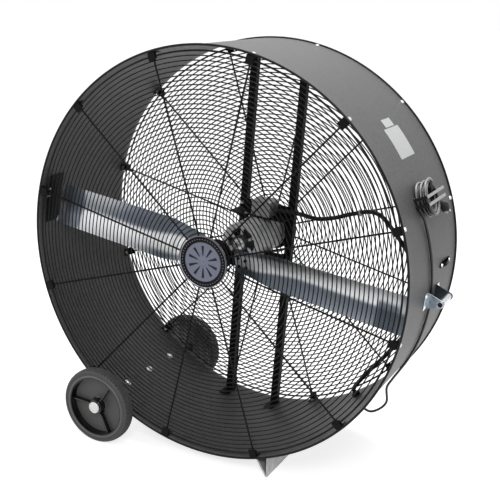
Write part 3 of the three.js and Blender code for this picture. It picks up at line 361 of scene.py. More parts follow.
# the tyre's rubber painted lighter as a highlight on its raised bead
tyreBeadHighlight = makeMaterial("tyreBeadHighlight", (0.09, 0.09, 0.09), 0.42, 0, 0.15, 0.004, 0.3, 0.0014, 0.06)
capZinc = makeMaterial("capZinc", (0.72, 0.72, 0.71), 0.34, 0.35, 0.1, 0.004, 0.1, 0.0008, 0.06)
cordJacket = makeMaterial("cordJacket", (0.007, 0.007, 0.007), 0.26, 0, 0.2, 0.01, 0.1, 0.0006, 0.04,
                          gloss=0.42)
leadJacket = makeMaterial("leadJacket", (0.006, 0.006, 0.006), 0.5, 0, 0.2, 0.01, 0.3, 0.0008, 0.08,
                          gloss=0.25)
strapGrey = makeMaterial("strapGrey", (0.38, 0.38, 0.37), 0.6, 0, 0.12, 0.003, 0.6, 0.0006, 0.06)
nylonTie = makeMaterial("nylonTie", (0.62, 0.62, 0.58), 0.4, 0, 0.05, 0.004, 0.1, 0.0006)
labelFilm = makeMaterial("labelFilm", (0.41, 0.42, 0.42), 0.4, 0, 0.04, 0.01, 0.05, 0.001)
badgeBlack = makeMaterial("badgeBlack", (0.004, 0.004, 0.006), 0.4, 0, 0.1, 0.02, 0.15, 0.0008, 0.05,
                          gloss=0.1)
badgeSilver = makeMaterial("badgeSilver", (0.30, 0.305, 0.33), 0.3, 0.9, 0.08, 0.01, 0.1, 0.0008, 0.06)


def makeBladeMetal():
    # Rolled aluminium: the painted reflection runs from dark blue-grey to bright, and stretched noise adds
    # fine scratches.
    material = makeMaterial("bladeMetal", (0.62, 0.64, 0.67), 0.3, 0.9)
    nodes, links, shader = openTree(material)
    reflectionTone = nodes.new("ShaderNodeAttribute")
    reflectionTone.attribute_name = "paintedBladeReflection"
    reflectionBands = nodes.new("ShaderNodeValToRGB")
    stops = [(0.0, (0.035, 0.045, 0.060)), (0.35, (0.175, 0.20, 0.235)),
             (0.7, (0.58, 0.59, 0.61)), (1.0, (0.86, 0.87, 0.88))]
    while len(reflectionBands.color_ramp.elements) < len(stops):
        reflectionBands.color_ramp.elements.new(0.5)
    for element, (position, color) in zip(reflectionBands.color_ramp.elements, stops):
        element.position, element.color = position, (*color, 1)
    where = nodes.new("ShaderNodeTexCoord").outputs["Object"]
    stretch = nodes.new("ShaderNodeMapping")
    stretch.inputs["Scale"].default_value = (14, 60, 900)
    scratch = nodes.new("ShaderNodeTexNoise")
    scratch.inputs["Scale"].default_value = 1.0
    scratch.inputs["Detail"].default_value = 5
    links.new(where, stretch.inputs["Vector"])
    links.new(stretch.outputs["Vector"], scratch.inputs["Vector"])
    wobble = nodes.new("ShaderNodeMath")
    wobble.operation = "MULTIPLY_ADD"
    scratchDepth = 0.16  # of the tone's whole range
    wobble.inputs[1].default_value = scratchDepth
    wobble.inputs[2].default_value = -scratchDepth / 2
    shifted = nodes.new("ShaderNodeMath")
    links.new(scratch.outputs["Fac"], wobble.inputs[0])
    links.new(reflectionTone.outputs["Fac"], shifted.inputs[0])
    links.new(wobble.outputs["Value"], shifted.inputs[1])
    links.new(shifted.outputs["Value"], reflectionBands.inputs["Fac"])
    links.new(reflectionBands.outputs["Color"], shader.inputs["Base Color"])
    rough = nodes.new("ShaderNodeMapRange")
    rough.inputs["To Min"].default_value, rough.inputs["To Max"].default_value = 0.24, 0.42
    links.new(scratch.outputs["Fac"], rough.inputs["Value"])
    links.new(rough.outputs["Result"], shader.inputs["Roughness"])
    bump = nodes.new("ShaderNodeBump")
    bump.inputs["Strength"].default_value, bump.inputs["Distance"].default_value = 0.12, 0.0002
    links.new(scratch.outputs["Fac"], bump.inputs["Height"])
    links.new(bump.outputs["Normal"], shader.inputs["Normal"])
    return material


def makeBadgeBlue():
    # Satin grey-blue paint that darkens to black where the attribute fluteDepth says a flute is cut.
    blue = (0.160, 0.173, 0.228)
    material = makeMaterial("badgeBlue", blue, 0.42, 0.15, 0.1, 0.004, 0.2, 0.0008, 0.06, gloss=0.2)
    flute = material.node_tree.nodes.new("ShaderNodeAttribute")
    flute.attribute_name = "fluteDepth"
    mixOver(material, flute.outputs["Fac"], (0.004, 0.0045, 0.008))
    return material


def addTopHighlight(material, color, low, high):
    # A painted highlight on what faces up: its share grows evenly while the normal's height climbs from low
    # to high.
    nodes, links, _ = openTree(material)
    height = nodes.new("ShaderNodeSeparateXYZ")
    links.new(nodes.new("ShaderNodeNewGeometry").outputs["Normal"], height.inputs["Vector"])
    amount = nodes.new("ShaderNodeMapRange")
    amount.inputs["From Min"].default_value, amount.inputs["From Max"].default_value = low, high
    links.new(height.outputs["Z"], amount.inputs["Value"])
    mixOver(material, amount.outputs["Result"], color)


# the cord's upward faces painted light grey: a highlight from the lamps above
addTopHighlight(cordJacket, (0.25, 0.25, 0.247), 0.15, 0.9)
bladeMetal = makeBladeMetal()
badgeBlue = makeBadgeBlue()
print("materials made")

# Camera: an ordinary lens, a little above the drum's middle and to its right

camera = dict(at=(1285.37, -2407.18, 771.57), forward=(-0.44318, 0.85175, -0.27948),
              up=(-0.13676, 0.24387, 0.96012), lens=64.776)
cameraData = bpy.data.cameras.new("camera")
cameraData.lens, cameraData.sensor_width = camera["lens"], 36
cameraData.clip_start, cameraData.clip_end = 0.05, 50
cameraObject = bpy.data.objects.new("camera", cameraData)
bpy.context.collection.objects.link(cameraObject)
forward, up = Vector(camera["forward"]).normalized(), Vector(camera["up"]).normalized()
right = forward.cross(up).normalized()
up = right.cross(forward)
cameraTurn = Matrix((right, up, -forward)).transposed().to_4x4()
cameraObject.matrix_world = Matrix.Translation((axisPoint + np.array(camera["at"])) * 0.001) @ cameraTurn
bpy.context.scene.camera = cameraObject

# Power cord: up the side of the drum, four layers of coil, and over to the plug

cord = dict(radius=4)
gland = dict(angle=145, y=150)
coil = dict(angle=70, y=-40, mean=43.5, pitch=8.9, layers=4, turns=6.339, start=-58, first=628.3)


def coilPath(turn):
    # The coil in its own frame: it turns clockwise, spirals in and out, and climbs where it reverses.
    perLayer = coil["turns"] / coil["layers"]
    layer = np.minimum(np.floor(turn / perLayer), coil["layers"] - 1)
    within = turn / perLayer - layer
    inward = np.where(layer % 2 == 0, 1 - 2 * within, 2 * within - 1)
    reach = coil["mean"] + coil["pitch"] * perLayer / 2 * inward
    nearest = np.round(turn / perLayer)
    past = turn - nearest * perLayer
    climbing = (nearest > 0) & (nearest < coil["layers"]) & (np.abs(past) < 0.25)
    level = np.where(climbing, nearest - 0.5 + 2 * past, layer)
    angle = math.radians(coil["start"]) - 2 * np.pi * turn
    height = coil["first"] + level * coil["pitch"]
    return np.stack([reach * np.cos(angle), coil["y"] + reach * np.sin(angle), height], -1)


coilLine = turnAbout(coilPath(np.linspace(0, coil["turns"], 230)), coil["angle"])
runRoute = np.array([  # angle, y and radius of each point, from the gland to the coil
    (145, 150, 657.9), (145, 150, 667.9), (143.8, 145, 681.9), (140.6, 136, 686.9), (136.8, 124, 677.9),
    (133, 108, 640), (129, 90, 630), (124, 66, 626), (118, 46, 626), (112, 28, 626), (106, 12, 626),
    (100, 0, 626), (94.5, -14, 626), (89.5, -28, 626), (85, -38, 626), (81.5, -46, 626), (77.5, -56, 626.5)])
firstHeading = (coilLine[0] - coilLine[1]) / np.linalg.norm(coilLine[0] - coilLine[1])
lastHeading = (coilLine[-1] - coilLine[-2]) / np.linalg.norm(coilLine[-1] - coilLine[-2])
plugHeading = turnAbout((math.cos(math.radians(48)), math.sin(math.radians(48)), 0), coil["angle"])
plugEntry = turnAbout((28, coil["y"] + 118, 634.3), coil["angle"])
topHeight = coil["first"] + (coil["layers"] - 1) * coil["pitch"]
runPoints = np.concatenate([onDrum(*runRoute.T), [coilLine[0] + 20 * firstHeading, coilLine[0]]])
tailPoints = np.concatenate([
    [coilLine[-1], coilLine[-1] + 14 * lastHeading],
    turnAbout([(-46, 2, topHeight - 4), (-32, 26, topHeight - 10), (-8, 48, topHeight - 17)], coil["angle"]),
    [plugEntry - 15 * plugHeading, plugEntry]])
cordPath = np.concatenate([smoothPath(runPoints, 6)[:-1], coilLine, smoothPath(tailPoints, 4)[1:]])
powerCord = putCord("powerCord", cordPath, cord["radius"], cordJacket)
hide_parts("cord_run", "cord_coil", "cord_tail")
print("power cord:", round(lengthOf(cordPath), 3), "m")


# Plug: a moulded body with a ribbed neck and three pins

def makePlug():
    # Superellipses along the plug: half the width times cos to a power, half the height times sin to it.
    stations = np.array([  # place along the plug, width, height
        (0.3, 7.2, 7.2), (4, 7.6, 7.6), (5, 6.6, 6.6), (7, 6.8, 6.8), (8, 8.4, 8.4), (10, 8.6, 8.6),
        (11, 7.8, 7.8), (13, 9, 9), (17, 12.5, 11.5), (22, 16, 16), (28, 22.5, 21), (36, 24.4, 23.4),
        (42, 24.8, 23.8), (44, 22.5, 21.5)])
    sides, power = 40, 2 / 4.2
    a = np.linspace(0, 2 * np.pi, sides, endpoint=False)[None]
    across = stations[:, 1:2] / 2 * np.sign(np.cos(a)) * np.abs(np.cos(a)) ** power
    high = stations[:, 2:3] / 2 * np.sign(np.sin(a)) * np.abs(np.sin(a)) ** power
    body = np.stack([np.repeat(stations[:, :1], sides, 1), across, high], -1)
    caps = np.stack([np.arange(sides)[::-1], np.arange(sides) + sides * (len(stations) - 1)])
    return body, [gridFaces(len(stations), sides, False, True), caps]


def inPlugFrame(points):
    # Puts plug points (along, across, up) beside the coil.
    p = np.reshape(points, (-1, 3))
    out = onDrum(coil["angle"], 0, 1)
    side = np.cross(out, plugHeading)
    return plugEntry + p[:, :1] * plugHeading + p[:, 1:2] * side + p[:, 2:] * out


pins = dict(apart=6.35, earthHeight=6)
plugBody, plugFaces = makePlug()
plugShell = putMesh("plugShell", inPlugFrame(plugBody), plugFaces, leadJacket, sharp=50)
pinShapes = []  # two flat blades and a round earth pin
for side in (-1, 1):
    pin = roundCorners([(43, -6.3), (60.5, -6.3), (61, -5), (61, -1.3), (60.5, 0), (43, 0)], 1.2, 2)
    points, faces = prism(pin, side * pins["apart"] - 0.75, side * pins["apart"] + 0.75, [0, 2, 1])
    pinShapes.append((inPlugFrame(points), faces))
groundPin = turned([(0, 43), (2.4, 43), (2.4, 61), (1.6, 62.8), (0, 63)], 16)
points = groundPin[0][..., [1, 0, 2]] + np.array([0, 0, pins["earthHeight"]])
pinShapes.append((inPlugFrame(points), groundPin[1]))
plugPins = putMesh("plugPins", *many(pinShapes), shaftSteel, sharp=30)
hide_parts("plug")

# Coil straps: flat bands round the coil, each with its tail laid out past it

strapSize = dict(reach=52.8, low=621.3, high=659.3, sheet=2.2, width=8, tail=48, apart=22)


def makeStrap(x):
    # Four flat bars in (y, height) round the coil, the top one longer by the tail, carried across the width.
    near, far = coil["y"] - strapSize["reach"], coil["y"] + strapSize["reach"]
    low, high, sheet, half = strapSize["low"], strapSize["high"], strapSize["sheet"], strapSize["width"] / 2
    bars = [((near - sheet, low), (near, high + sheet)),
            ((near - sheet, high), (far + strapSize["tail"], high + sheet)),
            ((far, low), (far + sheet, high)),
            ((near - sheet, low), (far + sheet, low + sheet))]
    shapes = []
    for (y0, z0), (y1, z1) in bars:
        outline = roundCorners([(y0, z0), (y1, z0), (y1, z1), (y0, z1)], 0.7, 2)
        shapes.append(prism(outline, x - half, x + half, [1, 2, 0]))
    return many(shapes)


for word, side in (("upper", -1), ("lower", 1)):
    points, faces = makeStrap(side * strapSize["apart"] / 2)
    points = turnAbout(points, coil["angle"])
    strap = putMesh("coilStrap_" + word, points, faces, strapGrey, sharp=30)
    # the near leg is painted black as shadow
    refinish(strap, leadJacket, lambda c: c[:, 1] < coil["y"] - 52.6)  # its near leg, lost in shadow
    bevel(strap, 0.4)
    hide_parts("coil_tie_" + word)

# Strain relief: a taper with eight bend ribs

relief = dict(base=625.6, length=32, foot=8, taper=2.8, ribs=8, ribDepth=0.5)
steps = np.linspace(0, 1, 61)
ribGaps = (np.sin(steps * 2 * np.pi * relief["ribs"]) > 0.2) * (steps > 0.12)
reliefRadius = relief["foot"] - relief["taper"] * steps - relief["ribDepth"] * ribGaps
reliefHeight = relief["base"] + steps * relief["length"]
reliefProfile = np.r_[[(0, reliefHeight[0])], np.c_[reliefRadius, reliefHeight], [(0, reliefHeight[-1])]]
points, faces = turned(reliefProfile, 32)
points = turnAbout(points[..., [0, 2, 1]] + np.array([0, gland["y"], 0]), gland["angle"])
strainRelief = putMesh("strainRelief", points, faces, cordJacket, sharp=35)
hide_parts("strain_relief")
copyOfNode("cord_gland", "wallGland", blackSteel, 0.8)
print("cord pieces made")

# Drum: one rolled sheet, its mouths curled outwards over a wire

def makeDrum():
    # The skin's section is a thin strip that ends in an arc of the bead's circle each side, turned about y.
    curl = np.radians(np.linspace(180, 470, 26))
    reach = drum["beadRadius"]
    front = np.c_[drum["beadMiddle"] + reach * np.cos(curl), -drum["beadY"] + reach * np.sin(curl)]
    outside = np.c_[np.full(9, drum["outer"]), np.linspace(-224, 224, 9)]
    rear = front[::-1] * np.array([1, -1])
    inside = np.c_[np.full(9, drum["inner"]), np.linspace(222, -222, 9)]
    return turned(np.concatenate([front, outside, rear, inside]), drum["segments"], closed=True)


drumSkin = putMesh("drumSkin", *makeDrum(), drumPaint, sharp=60)
# the curled beads at both mouths take the wires' black: partly the guards' black rims over them, partly
# painted shadow
refinish(drumSkin, wirePaint, lambda c: np.abs(c[:, 1]) > 225.9)
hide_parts("drum_shell")

# Guards: forty close rings on twelve radial wires, each mouth

guard = dict(frontWire=1.85, rearWire=2.1, spokeWire=2.7, rimWire=2.9, first=72, last=606, rings=41,
             ringY=227.0, rimY=226, spokeY=222.4)


def makeGuard(side):
    # Rings whose radii grow by even steps, the last one a thicker rim, then spokes from the plate to the rim.
    radii = np.linspace(guard["first"], guard["last"], guard["rings"])
    ringWire = guard["frontWire"] if side < 0 else guard["rearWire"]
    shapes = []
    for radius in radii[:-1]:
        segments = int(np.clip(radius / 3.2, 60, 192))
        shapes.append(torus(radius, ringWire, side * guard["ringY"], segments, 6))
    rimSegments = int(np.clip(guard["last"] / 3.2, 60, 192))
    shapes.append(torus(guard["last"], guard["rimWire"], side * guard["rimY"], rimSegments, 10))
    for angle in spokeAngles:
        ends = onDrum(angle, side * guard["spokeY"], np.array([60.0, guard["last"] + 2]))
        shapes.append(rod(ends[0], ends[1], guard["spokeWire"], 10))
    return many(shapes)


for side, word in ((-1, "front"), (1, "rear")):
    wires = putMesh(word + "GuardWires", *makeGuard(side), wirePaint, sharp=60, outward=False)
    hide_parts(word + "_guard")
    plate = np.array([(0, 225.6), (73, 225.6), (74, 224.6), (73, 223.6), (0, 223.6)]) * np.array([1, side])
    putMesh(word + "GuardPlate", *turned(plate, 72), wirePaint, sharp=30)


# Clips: a folded sheet over the guard's rim at every spoke, bolted through the skin

clip = dict(width=24, sheet=2.6, leg=618.0, tip=594, front=232.2, lip=223.2, lipTip=600, back=200.8)


def makeClip(side, angle):
    # A hook-shaped outline in (y, radius), carried across the clip's width and turned to its spoke.
    sheet, leg, front, lip = clip["sheet"], clip["leg"], -clip["front"], -clip["lip"]
    outline = [(front, leg), (front, clip["tip"]), (front + sheet, clip["tip"]), (front + sheet, leg - sheet),
               (lip, leg - sheet), (lip, clip["lipTip"]), (lip + sheet, clip["lipTip"]),
               (lip + sheet, leg - sheet), (-clip["back"], leg - sheet), (-clip["back"], leg)]
    outline = roundCorners(outline, 1.6, 3) * np.array([-side, 1])
    points, faces = prism(outline, -clip["width"] / 2, clip["width"] / 2, [1, 2, 0])
    return turnAbout(points, angle), faces


for side, word in ((-1, "front"), (1, "rear")):
    points, faces = many([makeClip(side, a) for a in spokeAngles])
    clips = putMesh(word + "GuardClips", points, faces, blackSteel, sharp=30)
    bevel(clips, 0.5)
    if side < 0:
        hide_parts(*[f"guard_clip_{k + 1:02d}" for k in range(12)])
    heads = [boltHead(onDrum(a, side * 214, 620.8), onDrum(a, 0, 1), 6.2, 4.4, 24, 0.5) for a in spokeAngles]
    nuts = [boltHead(onDrum(a, side * 211, 615.6), -onDrum(a, 0, 1), 5.6, 4.6) for a in spokeAngles]
    bolts = putMesh(word + "ClipBolts", *many(heads + nuts), boltZinc, sharp=35)
print("drum and guards made")

# Badge: plain rings and a circle of beads round a dished face

badge = dict(face=60, flutes=10, beads=48, beadCircle=68.8, middle=-236.4)


def badgeFaceShape():
    # Radius by angle: a dish of 1 - r squared, less a boss, with an edge groove and ten straight flutes.
    r = np.r_[badge["face"], np.linspace(badge["face"] - 0.6, 0.4, 64)][:, None]
    a = np.linspace(0, 2 * np.pi, 400, endpoint=False)[None]
    boss = 2.2 / (1 + np.exp((r - 13) / 0.8))
    groove = 0.6 * np.exp(-(((r - 56.5) / 0.8) ** 2))
    sector = np.mod(a * badge["flutes"] / (2 * np.pi) + 0.5, 1) - 0.5
    aside = sector * 2 * np.pi / badge["flutes"] * r
    width = 1.3 + 3.2 * np.clip((r - 18) / 30, 0, 1)
    flute = np.exp(-((aside / width) ** 4)) * smoothstep(r, 17, 21) * (1 - smoothstep(r, 47, 51))
    y = badge["middle"] + 1.5 * (1 - (r / 58) ** 2) + groove - boss + 0.9 * flute
    y[0] = -232.5
    points = np.stack([r * np.sin(a), y + 0 * a, r * np.cos(a)], -1)
    points = np.concatenate([points, np.broadcast_to([[[0, float(y[-1, 0]), 0]]], (1, 400, 3))])
    ink = np.concatenate([np.clip(flute * 1.3, 0, 1), np.zeros((1, 400))])
    return points, gridFaces(len(points), 400, False, True), ink.ravel()


rim = [(76, -230), (78.6, -230), (79, -232), (79, -236), (78.2, -238.2), (77.4, -238.2),
       (76.6, -236.8), (76, -236)]
band = [(0, -230), (76.4, -230), (76.4, -236.2), (75.6, -236.6), (62, -236.6), (60.8, -236),
        (60.6, -233), (0, -233)]
putMesh("badgeRim", *turned(rim, 144, closed=True), badgeSilver, sharp=50)
putMesh("badgeBand", *turned(band, 144), badgeBlack, sharp=40)
points, faces, ink = badgeFaceShape()
badgeFace = putMesh("badgeFace", points, faces, badgeBlue, sharp=60, outward=False)
fluteDepth = badgeFace.data.attributes.new("fluteDepth", "FLOAT", "POINT")
fluteDepth.data.foreach_set("value", ink.astype(np.float32))
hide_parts("front_badge")
beadAngles = np.linspace(0, 360, badge["beads"], endpoint=False)
beads = [boltHead(onDrum(a, badge["middle"], badge["beadCircle"]), (0, -1, 0), 1.3, 1.2, 10, 0.7)
         for a in beadAngles]
putMesh("badgeBeads", *many(beads), badgeSilver)

# Propeller

blade = dict(root=62, tip=602, flatEnd=112, fullChord=190, rootChord=96, chord=130, camber=13, rootPitch=27,
             tipPitch=9, thickness=2.8, y=-148, turn=8.9)
bladeMiddle = np.array([0, blade["y"], 0])


def makeBlade(turn, stripeEnd):
    # Span by chord: the chord turns from root to tip pitch and bows as 1 - v squared, in a round-edged sheet.
    x = np.r_[blade["root"], np.linspace(70, 592, 100), 597, 600.5, 602][:, None]
    loop = np.linspace(0, 2 * np.pi, 64, endpoint=False)[None]
    span = np.clip((x - blade["flatEnd"]) / (blade["tip"] - blade["flatEnd"]), 0, 1)
    shoulder = smoothstep(x, blade["root"], blade["fullChord"])
    trim = 1 - 0.08 * np.clip((x - 592) / 10, 0, 1) ** 3  # eases the tip's corners
    chord = (blade["rootChord"] + (blade["chord"] - blade["rootChord"]) * shoulder) * trim
    pitch = np.radians(blade["rootPitch"] + (blade["tipPitch"] - blade["rootPitch"]) * span**0.75)
    bow = blade["camber"] * smoothstep(x, blade["flatEnd"], blade["fullChord"])
    v = np.cos(loop)
    across = v * chord / 2
    skin = blade["thickness"] / 2 * np.sign(np.sin(loop)) * np.abs(np.sin(loop)) ** 0.35
    out = bow * (1 - v**2) + skin
    along = x * np.sqrt(1 - (across / (2 * blade["tip"])) ** 2)
    y = out * np.cos(pitch) - across * np.sin(pitch)
    z = out * np.sin(pitch) + across * np.cos(pitch)
    points = np.stack([along, y, z], -1)
    rows, columns = points.shape[:2]
    caps = np.stack([np.arange(columns), np.arange(columns)[::-1] + columns * (rows - 1)])
    reflectionTone = paintedBladeReflection(span, v / 2 + 0.5, stripeEnd).ravel()
    return turnAbout(points, turn) + bladeMiddle, [gridFaces(rows, columns, False, True), caps], reflectionTone


def paintedBladeReflection(u, v, stripeEnd):
    # Painted reflections, along the span u and across the chord v: bright past a line that climbs from a
    # third to half the chord, dull blue before it, dark by the root and in a stripe near the tip, which fades
    # across by stripeEnd.
    line = 0.33 + 0.15 * smoothstep(u, 0.0, 0.35)
    above = smoothstep(v, line - 0.07, line + 0.07)
    bright = 0.92 - 0.22 * smoothstep(v, line + 0.1, 1.0) * smoothstep(u, 0.1, 0.5)
    dull = 0.21 + 0.22 * (1 - smoothstep(v, 0.0, line - 0.12)) * smoothstep(u, 0.15, 0.6)
    dull = dull + 0.3 * (1 - stripeEnd) * smoothstep(u, 0.35, 0.7)
    reflectionTone = dull + (bright - dull) * above
    reflectionTone = reflectionTone - 0.6 * smoothstep(v, 0.76, 0.9) * (1 - smoothstep(u, 0.14, 0.40))
    pastStripe = smoothstep(u, 0.94, 0.96)
    stripe = smoothstep(u, 0.81, 0.83) * (1 - pastStripe) * (1 - stripeEnd * smoothstep(v, 0.55, 0.75))
    return np.clip(reflectionTone * (1 - 0.75 * stripe - 0.35 * pastStripe), 0, 1)


for word, turn, stripeEnd in (("a", 0, 1.0), ("b", 180, 0.25)):
    points, faces, reflectionTone = makeBlade(blade["turn"] + turn, stripeEnd)
    sheet = putMesh("blade_" + word, points, faces, bladeMetal, "propeller", sharp=60, outward=False)
    # the blade's painted reflection bands, kept on its points
    reflectionAttribute = sheet.data.attributes.new("paintedBladeReflection", "FLOAT", "POINT")
    reflectionAttribute.data.foreach_set("value", reflectionTone.astype(np.float32))
    work = bmesh.new()  # the faces turn outwards after the tones are in, so that their order holds
    work.from_mesh(sheet.data)
    bmesh.ops.recalc_face_normals(work, faces=work.faces)
    work.to_mesh(sheet.data)
    work.free()
    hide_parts("propeller_blade_" + word)

# Hub: a flanged barrel, two arms, the bolts at the blades' roots, the nut and the shaft

hubProfile = [(8.6, -33), (28, -33), (32, -30), (32, -18), (33.5, -16), (33.5, -7), (46.5, -4), (48, -2.5),
              (48, 2.5), (46.5, 4), (33.5, 7), (32, 16), (32, 28), (28, 33), (8.6, 33)]
points, faces = turned(hubProfile, 72, bladeMiddle, closed=True)
hubBarrel = putMesh("hubBarrel", points, faces, blackSteel, "propeller", sharp=35)
bevel(hubBarrel, 0.8)
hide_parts("propeller_hub")


def makeArm(turn):
    # A tapered black strap behind the blade's root, pitched as the root is.
    outline = roundCorners([(20, -30), (60, -26), (112, -19), (116, 0), (112, 19), (60, 26), (20, 30)], 6, 4)
    points, faces = prism(outline, 1.75, 8.0, [0, 2, 1])
    pitch = math.radians(blade["rootPitch"])
    out, across = points[:, 1].copy(), points[:, 2].copy()
    points[:, 1] = out * math.cos(pitch) - across * math.sin(pitch)
    points[:, 2] = out * math.sin(pitch) + across * math.cos(pitch)
    return turnAbout(points, turn) + bladeMiddle, faces


def pitched(x, across, out, turn):
    # A point on a blade's root plane, and the way that plane faces.
    pitch = math.radians(blade["rootPitch"])
    y = out * math.cos(pitch) - across * math.sin(pitch)
    z = out * math.sin(pitch) + across * math.cos(pitch)
    facing = np.array([0, -math.cos(pitch), -math.sin(pitch)])
    return turnAbout(np.array([x, y, z]), turn) + bladeMiddle, turnAbout(facing, turn)


arms = [makeArm(blade["turn"] + t) for t in (0, 180)]
bevel(putMesh("hubArms", *many(arms), blackSteel, "propeller", sharp=30), 0.8)
rootBolts = [boltHead(*pitched(x, across, -1.3, blade["turn"] + t), 5.5, 4.2, 6)
             for t in (0, 180) for x, across in ((74, -17), (74, 17), (98, -14), (98, 14))]
putMesh("rootBolts", *many(rootBolts), blackSteel, "propeller", sharp=30)
nutFoot = blade["y"] - 33.6
points, faces = boltHead((0, nutFoot, 0), (0, -1, 0), 13, 9.8, 6, 0.2)
hubNut = putMesh("hubNut", points, faces, shaftSteel, "propeller", sharp=30)
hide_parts("hub_nut")
shaftEnds = [(0, nutFoot + 0.4), (7.9, nutFoot + 0.4), (7.9, 163), (0, 163)]
points, faces = turned(shaftEnds, 40)
shaft = putMesh("driveShaft", points, faces, shaftSteel, "propeller", sharp=30)
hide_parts("motor_shaft")
print("propeller made")

# Motor and its mounting, leaning with the struts

motor = dict(lean=4.4, outside=64.8, inside=60, shellStart=48.4, shellEnd=163.6, grooveDepth=0.6)


def leaned(shape):
    # A shape turned about the drum's axis by the struts' lean.
    points, faces = shape
    return turnAbout(points, motor["lean"]), faces


def makeMotorShell():
    # A plain shell: a tube's section, with eased mouths and a rolled groove near each end, turned about y.
    out, start, end = motor["outside"], motor["shellStart"], motor["shellEnd"]
    low = out - motor["grooveDepth"]
    outer = [(low, start), (out, start + 1), (out, 55), (low, 56.2), (low, 57.8), (out, 59),
             (out, 153), (low, 154.2), (low, 155.8), (out, 157), (out, end - 1), (low, end)]
    return turned([(motor["inside"], end), (motor["inside"], start)] + outer, 144, closed=True)


motorShell = putMesh("motorShell", *leaned(makeMotorShell()), motorCast, sharp=35)
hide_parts("motor_shell")

# front bell: a rim with a flat face, six arms and a boss with a bright bearing ring
rimProfile = [(47, 1.4), (48, 0.4), (61, 0.2), (63, 0), (64.8, 1.6), (65, 4), (65, 47.6), (60.2, 47.6),
              (60.2, 9), (58, 5), (47, 4.4)]
bossProfile = [(8.5, -14), (17.5, -14), (18, -12.5), (19, -12.5), (26, -12.5), (27, -11.2), (27, 4.6),
               (8.5, 4.6)]
bellShapes = [turned(rimProfile, 96, closed=True), turned(bossProfile, 64, closed=True)]
for k in range(6):
    arm = roundCorners([(25.5, -4), (61, -6), (61.5, 0), (61, 6), (25.5, 4)], 1.5, 3)
    points, faces = prism(arm, 0.3, 4.7, [2, 0, 1])
    bellShapes.append((turnAbout(points, 60 * k), faces))
motorBell = putMesh("motorBell", *leaned(many(bellShapes)), motorCast, sharp=32)
refinish(motorBell, motorDark, lambda c: np.abs(np.hypot(c[:, 0], c[:, 2]) - 23.95) < 4.55)  # round the boss
bevel(motorBell, 0.7)
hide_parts("motor_front_bell")
bearingProfile = [(10, -14.1), (16.6, -14.1), (17.2, -13.4), (17.2, -12), (10, -12)]
points, faces = leaned(turned(bearingProfile, 48, closed=True))
putMesh("bearingRing", points, faces, shaftSteel, sharp=30)

rearProfile = [(0, 172), (60, 172), (60.5, 164.4), (64.8, 164.4), (65, 166), (65, 186), (63.6, 188),
               (64, 190), (56, 199.6), (52, 201.4), (30, 202), (28, 200.6), (0, 200.6)]
points, faces = leaned(turned(rearProfile, 96))
rearBell = putMesh("motorRearBell", points, faces, motorDark, sharp=32)
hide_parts("motor_rear_bell")


winding = dict(radius=50, y=33, wire=6.4, swell=1.3, lobes=24)


def makeWinding():
    # A bundle of wire round the stator: a ring whose section swells by a cosine in twenty-four lobes.
    around, sides = 288, 20
    u = np.linspace(0, 2 * np.pi, around, endpoint=False)[:, None]
    v = np.linspace(0, 2 * np.pi, sides, endpoint=False)[None]
    swell = winding["wire"] + winding["swell"] * np.cos(winding["lobes"] * u + 1.5 * np.sin(v))
    reach = winding["radius"] + swell * np.cos(v)
    points = np.stack([reach * np.sin(u), winding["y"] + swell * 1.5 * np.sin(v), reach * np.cos(u)], -1)
    return points, gridFaces(around, sides, True, True)


putMesh("statorWinding", *leaned(makeWinding()), copperWire, sharp=70)
for node in ("motor_stator", "motor_rotor"):
    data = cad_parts[node].data
    data.materials.clear()
    data.materials.append(motorDark)

for node, name, paint, width in (  # the solids' own shapes with rounded edges
        ("strut_left", "strutLeft", blackSteel, 1.2), ("strut_right", "strutRight", blackSteel, 1.2),
        ("motor_bracket_upper", "bracketUpper", blackSteel, 0.9),
        ("motor_bracket_lower", "bracketLower", blackSteel, 0.9),
        ("terminal_box", "terminalBox", boxCast, 1.2), ("terminal_lid", "terminalLid", boxCast, 1.6),
        ("lead_fitting", "leadFitting", motorDark, 0.9), ("cord_hook", "cordHook", blackSteel, 0.8),
        ("inner_plate", "innerPlate", blackSteel, 0.6), ("side_clip", "sideClip", blackSteel, 0.9),
        ("axle_channel", "axleChannel", blackSteel, 0.9), ("foot_channel", "footChannel", footZinc, 0.9),
        ("lead_tie", "leadTie", nylonTie, 0.5)):
    copyOfNode(node, name, paint, width)

frameBolts = []
for x in (-88, 88):  # brackets to struts
    for z in (84, -84):
        frameBolts.append(boltHead((x, 164.6, z), (0, -1, 0), 6.5, 5.2))
for x in (-39.6, 39.6):  # brackets to the motor
    for y in (100, 144):
        for side in (1, -1):
            frameBolts.append(boltHead((x, y, side * 68.3), (0, 0, side), 6, 4.6))
for x, y in ((-16, 102), (40, 102), (-16, 152), (40, 152)):  # the terminal box's lid
    frameBolts.append(boltHead((x, y, 118.4), (0, 0, 1), 3.4, 2.2, 16, 0.6))
putMesh("motorBolts", *leaned(many(frameBolts)), boltZinc, sharp=30)

# Motor lead: a black conduit along the rear guard, then down the wall to the bush

